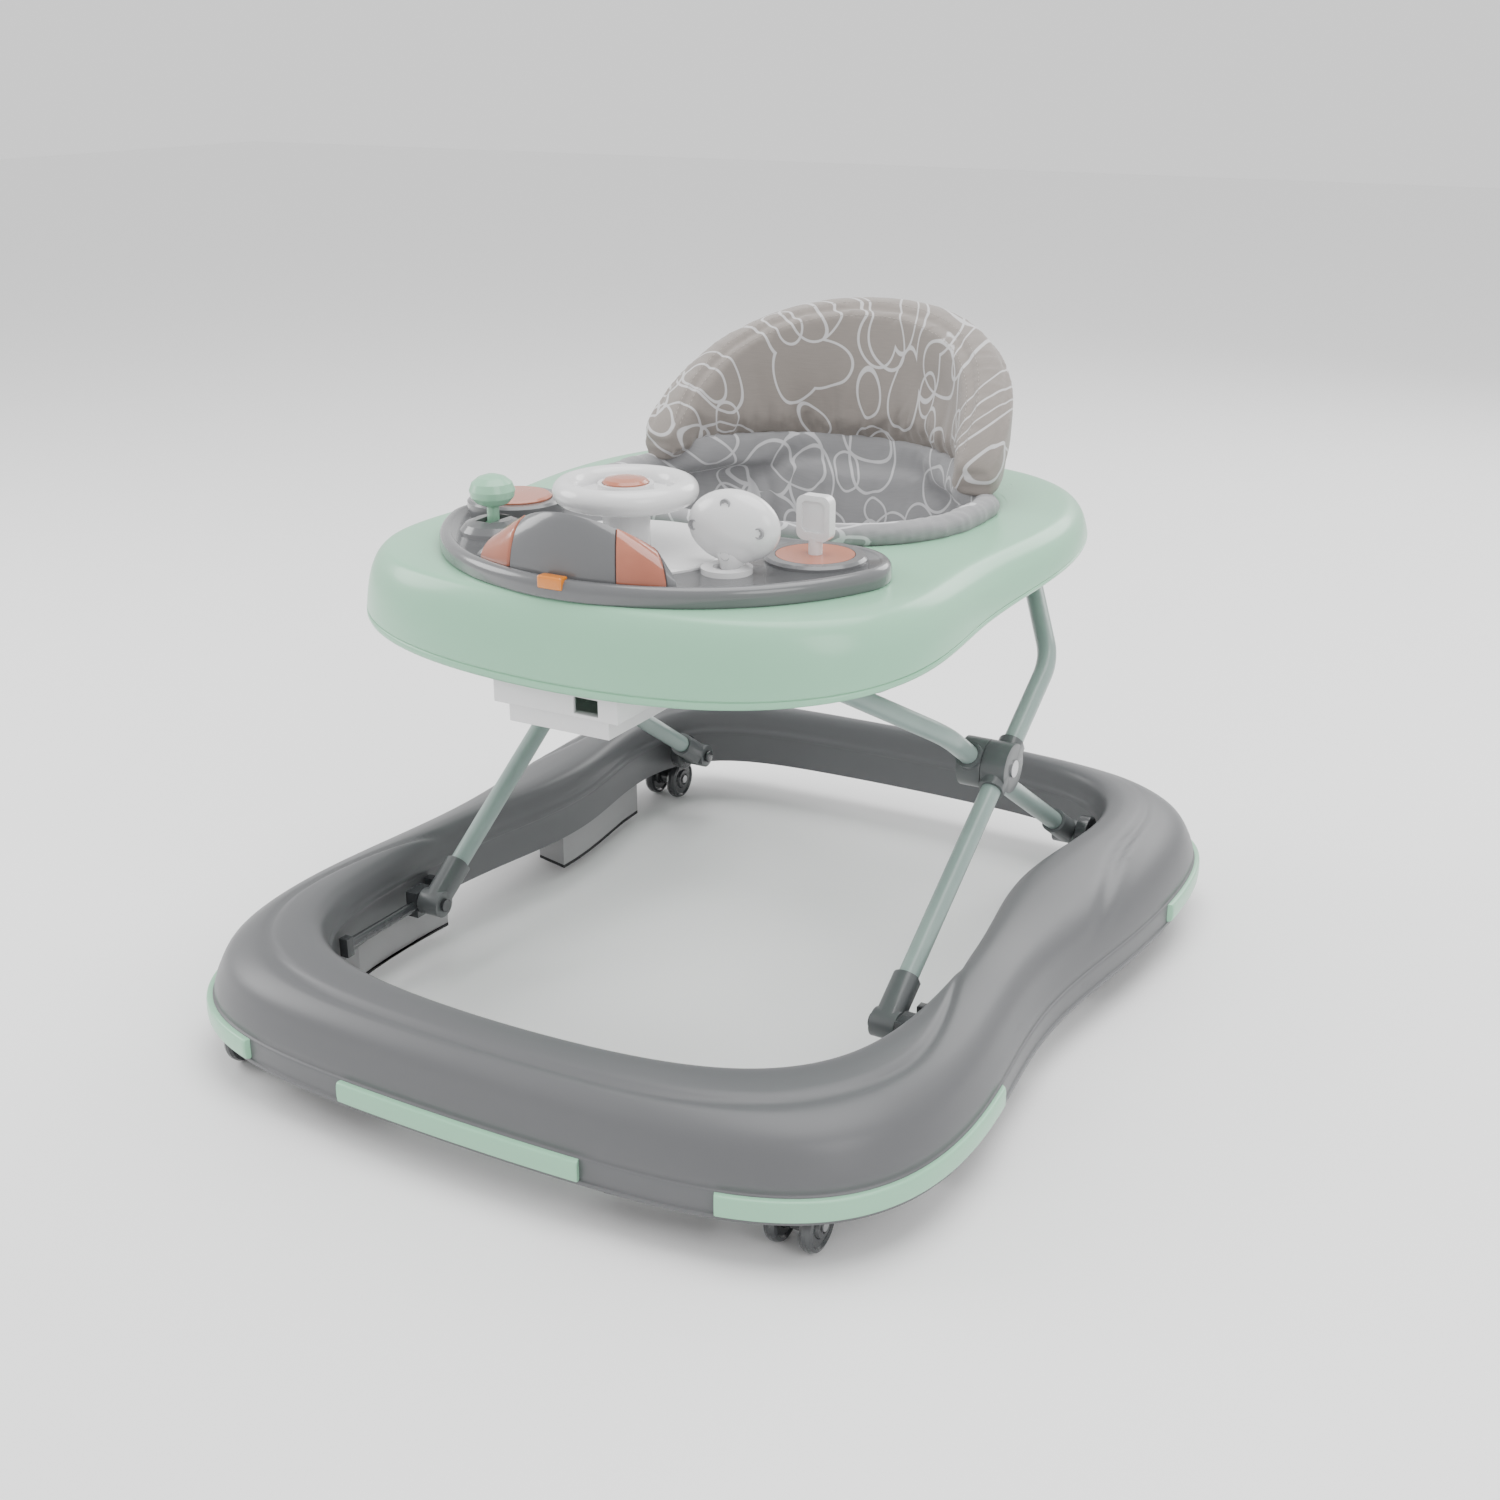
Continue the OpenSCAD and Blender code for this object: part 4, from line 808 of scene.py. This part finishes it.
def swell(obj, cap, force=4.0):
    """Blows the cover up like stuffing does, and keeps every point within the cap of where it began."""
    start = places(obj)
    cloth = obj.modifiers.new("stuffing", "CLOTH")
    settings = cloth.settings
    settings.use_pressure = True
    settings.uniform_pressure_force = force
    settings.effector_weights.gravity = 0
    settings.quality = 4
    cloth.collision_settings.use_self_collision = False
    steps = 20
    for step in range(1, steps + 1):
        scene.frame_set(step)
    bake(obj)
    scene.frame_set(1)
    moved = places(obj) - start
    far = np.linalg.norm(moved, axis=1, keepdims=True)
    set_places(obj, start + moved * np.minimum(1, cap / np.maximum(far, 1e-9)))


def subdivided(obj):
    """One finer step, so that the folds are smooth."""
    fine = obj.modifiers.new("fine", "SUBSURF")
    fine.levels = fine.render_levels = 1


back_a, back_b, back_mid_y, back_arc, back_lean = 146, 130, 118, 86, 22
back_foot, back_top = 397, 530
hood_cloth = printed_cloth("hood_fabric", (0.232, 0.207, 0.188), (0.52, 0.515, 0.525), back_mid_y * MM, 0.138)


def back_rise(f):
    """The cover's height at f degrees from its middle."""
    return (back_top - back_foot) * max(0.02, math.cos(math.radians(f * 90 / (back_arc + 3)))) ** 0.62


def back_pt(f, across, up):
    """A place on the cover: degrees from its middle, millimetres outwards, and share of the height."""
    a = math.radians(f)
    lean = back_lean * math.cos(math.radians(f * 90 / back_arc))
    out = np.array([math.sin(a) / back_a, math.cos(a) / back_b])
    out /= np.linalg.norm(out)
    x, y = np.array([back_a * math.sin(a), back_b * math.cos(a)]) + out * (across + lean * up)
    return np.array([x, back_mid_y + y, back_foot + up * back_rise(f)])


back_section = through([(-6, 0.0), (-10.5, 0.02), (-12.5, 0.10), (-17.0, 0.165), (-19.6, 0.25), (-18.8, 0.5),
                        (-17.8, 0.8), (-17.2, 0.93), (-13.5, 0.985), (0, 1.0), (12, 0.985), (16.5, 0.93),
                        (18, 0.8), (18.5, 0.5), (16.5, 0.2), (12, 0.02), (6, 0)], 3)
rings = []
for f in np.linspace(-back_arc, back_arc, 130):
    pinch = 1 - 0.16 * float(ramp(abs(f), back_arc - 3.5, back_arc))
    rings.append(np.array([back_pt(f * 0.999, s * pinch, u) for s, u in back_section]) * MM)
hood = mesh_piece("backrest_padding", *loft(rings), hood_cloth, 180)
hood_voxel, hood_cap = 0.0036, 0.004
remeshed(hood, hood_voxel)
swell(hood, hood_cap)


def hood_place(points):
    """The inverse of back_pt, for many points."""
    mm = points / MM
    f = np.degrees(np.arctan2(mm[:, 0] / back_a, (mm[:, 1] - back_mid_y) / back_b))
    rise = np.array([back_rise(min(abs(v), back_arc)) for v in f])
    up = (mm[:, 2] - back_foot) / rise
    lean = back_lean * np.cos(np.radians(np.clip(f, -back_arc, back_arc) * 90 / back_arc))
    ring = np.hypot(back_a * np.sin(np.radians(f)), back_b * np.cos(np.radians(f)))
    return f, np.hypot(mm[:, 0], mm[:, 1] - back_mid_y) - ring - lean * up, up


points, out = places(hood), outwards(hood)
f, across, up = hood_place(points)
inside = ramp(-across, 6, 13)
seam = np.exp(-((across + 15.0) / 3.0) ** 2) * ramp(up, 0.86, 0.93)
outer_seam = np.exp(-((across - 14.6) / 2.4) ** 2) * ramp(up, 0.78, 0.9)
folds = np.sin(f * 0.55 + 1.6 * np.sin(f * 0.11) + up * 2.5)
gather = np.sin(f * 1.15 + 0.9 * np.sin(f * 0.23 + 1)) * 0.6 + np.sin(f * 2.3 + 0.5) * 0.4
dent = np.exp(-((f - 34) / 13) ** 2 - ((up - 0.55) / 0.16) ** 2) \
    + 0.7 * np.exp(-((f + 18) / 16) ** 2 - ((up - 0.30) / 0.12) ** 2)
# Millimetres outwards: the inner panel, its drawn foot, the rim's top, the two ends, then both seams.
puff = inside * 1.1 * folds * ramp(-up, -0.75, -0.15)
puff += inside * 2.0 * gather * ramp(-up, -0.42, -0.16) * ramp(up, 0.12, 0.2)
puff -= inside * 3.0 * dent * (1 - ramp(up, 0.8, 0.95))
puff += 0.7 * gather * ramp(up, 0.93, 0.99) * ramp(np.abs(f), 20, 60)
puff += np.sin(up * 17 + f * 0.06) * ramp(np.abs(f), 62, 80) * (1 - inside)
puff -= 3.6 * seam + 2.2 * outer_seam
set_places(hood, points + out * puff[:, None] * MM)
round_off(hood, 180)
subdivided(hood)
move_with(hood, "tray", "hood_fabric", "backrest_cover")

# ---- Seat liner ----
# A soft grey cotton sling hung inside the seat opening, with two leg holes. A rolled hem lies over the
# edge of the deck, and its back is drawn up inside the backrest. It hangs in upright gathers.
liner_cloth = printed_cloth("liner_fabric", (0.245, 0.245, 0.252), (0.53, 0.53, 0.545),
                            seat_mid_y * MM, 0.140)
sling_z, sling_wall = 234, 8
tuck_a, tuck_b = 127, 111
sling_t = np.radians(np.arange(0, 360, 3.0))
tucked = ramp(np.sin(sling_t), 0.20, 0.42)[:, None]


def sling_ring(inset, z, back_out=None, back_z=None):
    """A ring of the sling. Behind, it may follow the backrest's inner face instead of the seat's edge."""
    ring = about(seat_edge, seat_mid_y, sling_t, inset, z)
    if back_out is None:
        return ring * MM
    f = np.arctan2(ring[:, 0] / (tuck_a - 1), (ring[:, 1] - back_mid_y) / (tuck_b - 1))
    behind = np.stack([(tuck_a + back_out) * np.sin(f), back_mid_y + (tuck_b + back_out) * np.cos(f),
                       np.full_like(f, back_z)], -1)
    return (ring * (1 - tucked) + behind * tucked) * MM


sling_depth = deck_z - sling_z
outer_side = [(126, 0), (84, 0.02), (50, 0.12), (34, 0.30), (26, 0.52), (17, 0.76), (9, 0.92)]
hem = [(3, 385, 12, 391), (-4, 388.2, 11.5, 399), (-6.5, 394, 11, 408), (-4, 400.8, 10.5, 414),
       (3, 404, 9, 417.5), (10, 403, 5, 418), (15.5, 397, 3, 413), (16.5, 389.5, 2, 402), (14, 383, 1.5, 390)]
rings = [sling_ring(inset, sling_z + sling_depth * u) for inset, u in outer_side]
rings += [sling_ring(*h) for h in hem]
for inset, u in outer_side[::-1]:
    rings.append(sling_ring(inset + sling_wall * (0.4 if u < 0.1 else 1),
                            sling_z + sling_depth * u + sling_wall * (1 if u < 0.2 else 0.4)))
liner = mesh_piece("seat_sling", *loft(rings), liner_cloth, 180)
leg_hole_r, leg_hole_at, leg_cut_len = 0.045, (0.058, -0.002, 0.262), 0.12
for side in (-1, 1):
    cutter = bmesh.new()
    bmesh.ops.create_cone(cutter, cap_ends=True, segments=48, radius1=leg_hole_r, radius2=leg_hole_r,
                          depth=leg_cut_len)
    set_at = Matrix.Translation((side * leg_hole_at[0], *leg_hole_at[1:])) \
        @ Matrix.Rotation(math.radians(side * 14), 4, "Z") @ Matrix.Rotation(math.radians(62), 4, "X")
    bmesh.ops.transform(cutter, matrix=set_at, verts=cutter.verts)
    mesh = bpy.data.meshes.new("leg_cut")
    cutter.to_mesh(mesh)
    cutter.free()
    cut = link(mesh, "leg_cut")
    take = liner.modifiers.new("leg", "BOOLEAN")
    take.object = cut
    take.solver = "EXACT"
    bake(liner)
    bpy.data.objects.remove(cut)
sling_voxel, sling_cap, sling_force = 0.005, 0.003, 2.0
remeshed(liner, sling_voxel)
swell(liner, sling_cap, sling_force)
points, out = places(liner), outwards(liner)
mm = points / MM
round_seat = np.degrees(np.arctan2(mm[:, 0], mm[:, 1] - seat_mid_y))
deep = (deck_z - mm[:, 2]) / sling_depth
pleat_step, pleat_h, crimp_h = 12, 5.0, 1.5
pitch = round_seat / pleat_step + 0.33 * np.sin(round_seat * 0.085) \
    + 0.2 * np.sin(round_seat * 0.21 + 2) + 0.12 * np.sin(deep * 5 + round_seat * 0.1)
from_fold = (pitch - np.round(pitch)) * pleat_step
pleat = np.exp(-(from_fold / 2.1) ** 2) * 1.3 - 0.45 * np.cos(np.radians(from_fold * 360 / pleat_step))
crimp = np.sin(round_seat * 1.9 + 1.4 * np.sin(round_seat * 0.31)) * 0.6 + np.sin(round_seat * 3.1) * 0.4
on_wall = ramp(deep, -0.02, 0.14) * (1 - ramp(deep, 0.70, 0.95))
on_hem = ramp(mm[:, 2], 383, 392) * ramp(-(mm[:, 1] - 150), 0, 30)
away = np.stack([np.sin(np.radians(round_seat)), np.cos(np.radians(round_seat)), 0 * round_seat], -1)
moved = away * (pleat_h * pleat * on_wall)[:, None] + out * (crimp_h * crimp * on_hem)[:, None]
set_places(liner, points + moved * MM)
round_off(liner, 180)
subdivided(liner)
move_with(liner, "tray", "liner_fabric", "seat_liner")

# ---- Seam stitches ----
# A row of fine thread stitches on each side of the seam that joins the hood's inner panel to its rim
# band. Geometry Nodes lay one small capsule on each place of the row.
def stitch_tree():
    tree = bpy.data.node_groups.new("stitch_row", "GeometryNodeTree")
    tree.interface.new_socket("Geometry", in_out="INPUT", socket_type="NodeSocketGeometry")
    for label, kind in (("Length", "NodeSocketFloat"), ("Thickness", "NodeSocketFloat"),
                        ("Thread", "NodeSocketMaterial")):
        tree.interface.new_socket(label, in_out="INPUT", socket_type=kind)
    tree.interface.new_socket("Geometry", in_out="OUTPUT", socket_type="NodeSocketGeometry")

    def node(kind, settings=None, **links):
        made = tree.nodes.new(kind)
        for key, value in (settings or {}).items():
            setattr(made, key, value)
        for key, value in links.items():
            socket = made.inputs[key.replace("_", " ")]
            if isinstance(value, bpy.types.NodeSocket):
                tree.links.new(value, socket)
            else:
                socket.default_value = value
        return made.outputs[0] if made.outputs else made

    given = tree.nodes.new("NodeGroupInput").outputs
    size = tree.nodes.new("ShaderNodeCombineXYZ")
    tree.links.new(given["Length"], size.inputs[0])
    tree.links.new(given["Thickness"], size.inputs[1])
    tree.links.new(given["Thickness"], size.inputs[2])
    bead = node("GeometryNodeMeshUVSphere", Segments=7, Rings=5, Radius=0.5)
    capsule = node("GeometryNodeTransform", Geometry=bead, Scale=size.outputs[0])
    turn = node("GeometryNodeInputNamedAttribute", {"data_type": "FLOAT_VECTOR"}, Name="turn")
    aim = node("FunctionNodeEulerToRotation", Euler=turn)
    row = node("GeometryNodeInstanceOnPoints", Points=node("GeometryNodeMeshToPoints", Mesh=given["Geometry"]),
               Instance=capsule, Rotation=aim)
    solid = node("GeometryNodeSetShadeSmooth", Geometry=node("GeometryNodeRealizeInstances", Geometry=row))
    tree.links.new(node("GeometryNodeSetMaterial", Geometry=solid, Material=given["Thread"]),
                   tree.nodes.new("NodeGroupOutput").inputs[0])
    return tree


def stitched(name, tree, spots, along, normals, length, thickness, thread):
    """One stitch on each spot, laid along the seam and flat on the cloth."""
    mesh = bpy.data.meshes.new(name)
    mesh.from_pydata([tuple(p) for p in spots], [], [])
    turns = []
    for a, n in zip(along, normals):
        a, n = Vector(a).normalized(), Vector(n).normalized()
        side = n.cross(a).normalized()
        turns += list(Matrix((a, side, a.cross(side))).transposed().to_euler())
    mesh.attributes.new("turn", "FLOAT_VECTOR", "POINT").data.foreach_set("vector", turns)
    obj = link(mesh, name)
    row = obj.modifiers.new("row", "NODES")
    row.node_group = tree
    values = {"Length": length, "Thickness": thickness, "Thread": thread}
    for item in tree.interface.items_tree:
        if item.in_out == "INPUT" and item.name in values:
            row[item.identifier] = values[item.name]
    bake(obj)
    return obj


def thread_paint():
    p = Paint("thread")
    twist = p.noise(p.stretched(p.place(), (900, 900, 900)), 1.0, 2)
    return p.finish(base_color=p.mix(twist, (0.30, 0.275, 0.25), (0.42, 0.39, 0.36)),
                    roughness=0.75 + twist * 0.1, normal=p.bump(twist, 0.00005, 0.6))


stitch_len, stitch_thick, stitch_step, stitch_lift = 0.0032, 0.0006, 0.0046, 0.0001
seam_arc, seam_rows = 82, ((-19, 0.885), (-11.2, 0.995))
hood_surface = BVHTree.FromObject(hood, bpy.context.evaluated_depsgraph_get())
spots, along, normals = [], [], []
for s, u in seam_rows:
    line = np.array([back_pt(f, s, u) for f in np.linspace(-seam_arc, seam_arc, 900)]) * MM
    travelled = np.concatenate([[0], np.cumsum(np.linalg.norm(np.diff(line, axis=0), axis=1))])
    for d in np.arange(0.002, travelled[-1], stitch_step):
        k = min(int(np.searchsorted(travelled, d)), len(line) - 2)
        spot, normal, _, _ = hood_surface.find_nearest(Vector(line[k]))
        spots.append(spot + normal * stitch_lift)
        along.append(line[k + 1] - line[k - 1])
        normals.append(normal)
hood_stitches = stitched("hood_stitches", stitch_tree(), spots, along, normals, stitch_len, stitch_thick,
                         thread_paint())
move_with(hood_stitches, "tray", "hood_fabric")

floor_paint = moulded("floor_paint", (0.93, 0.93, 0.93), 0.5, grain=0.00001, blush=0.004)
mesh_piece("floor", [(-9, -9, 0), (9, -9, 0), (9, 9, 0), (-9, 9, 0)], [(0, 1, 2, 3)], floor_paint)
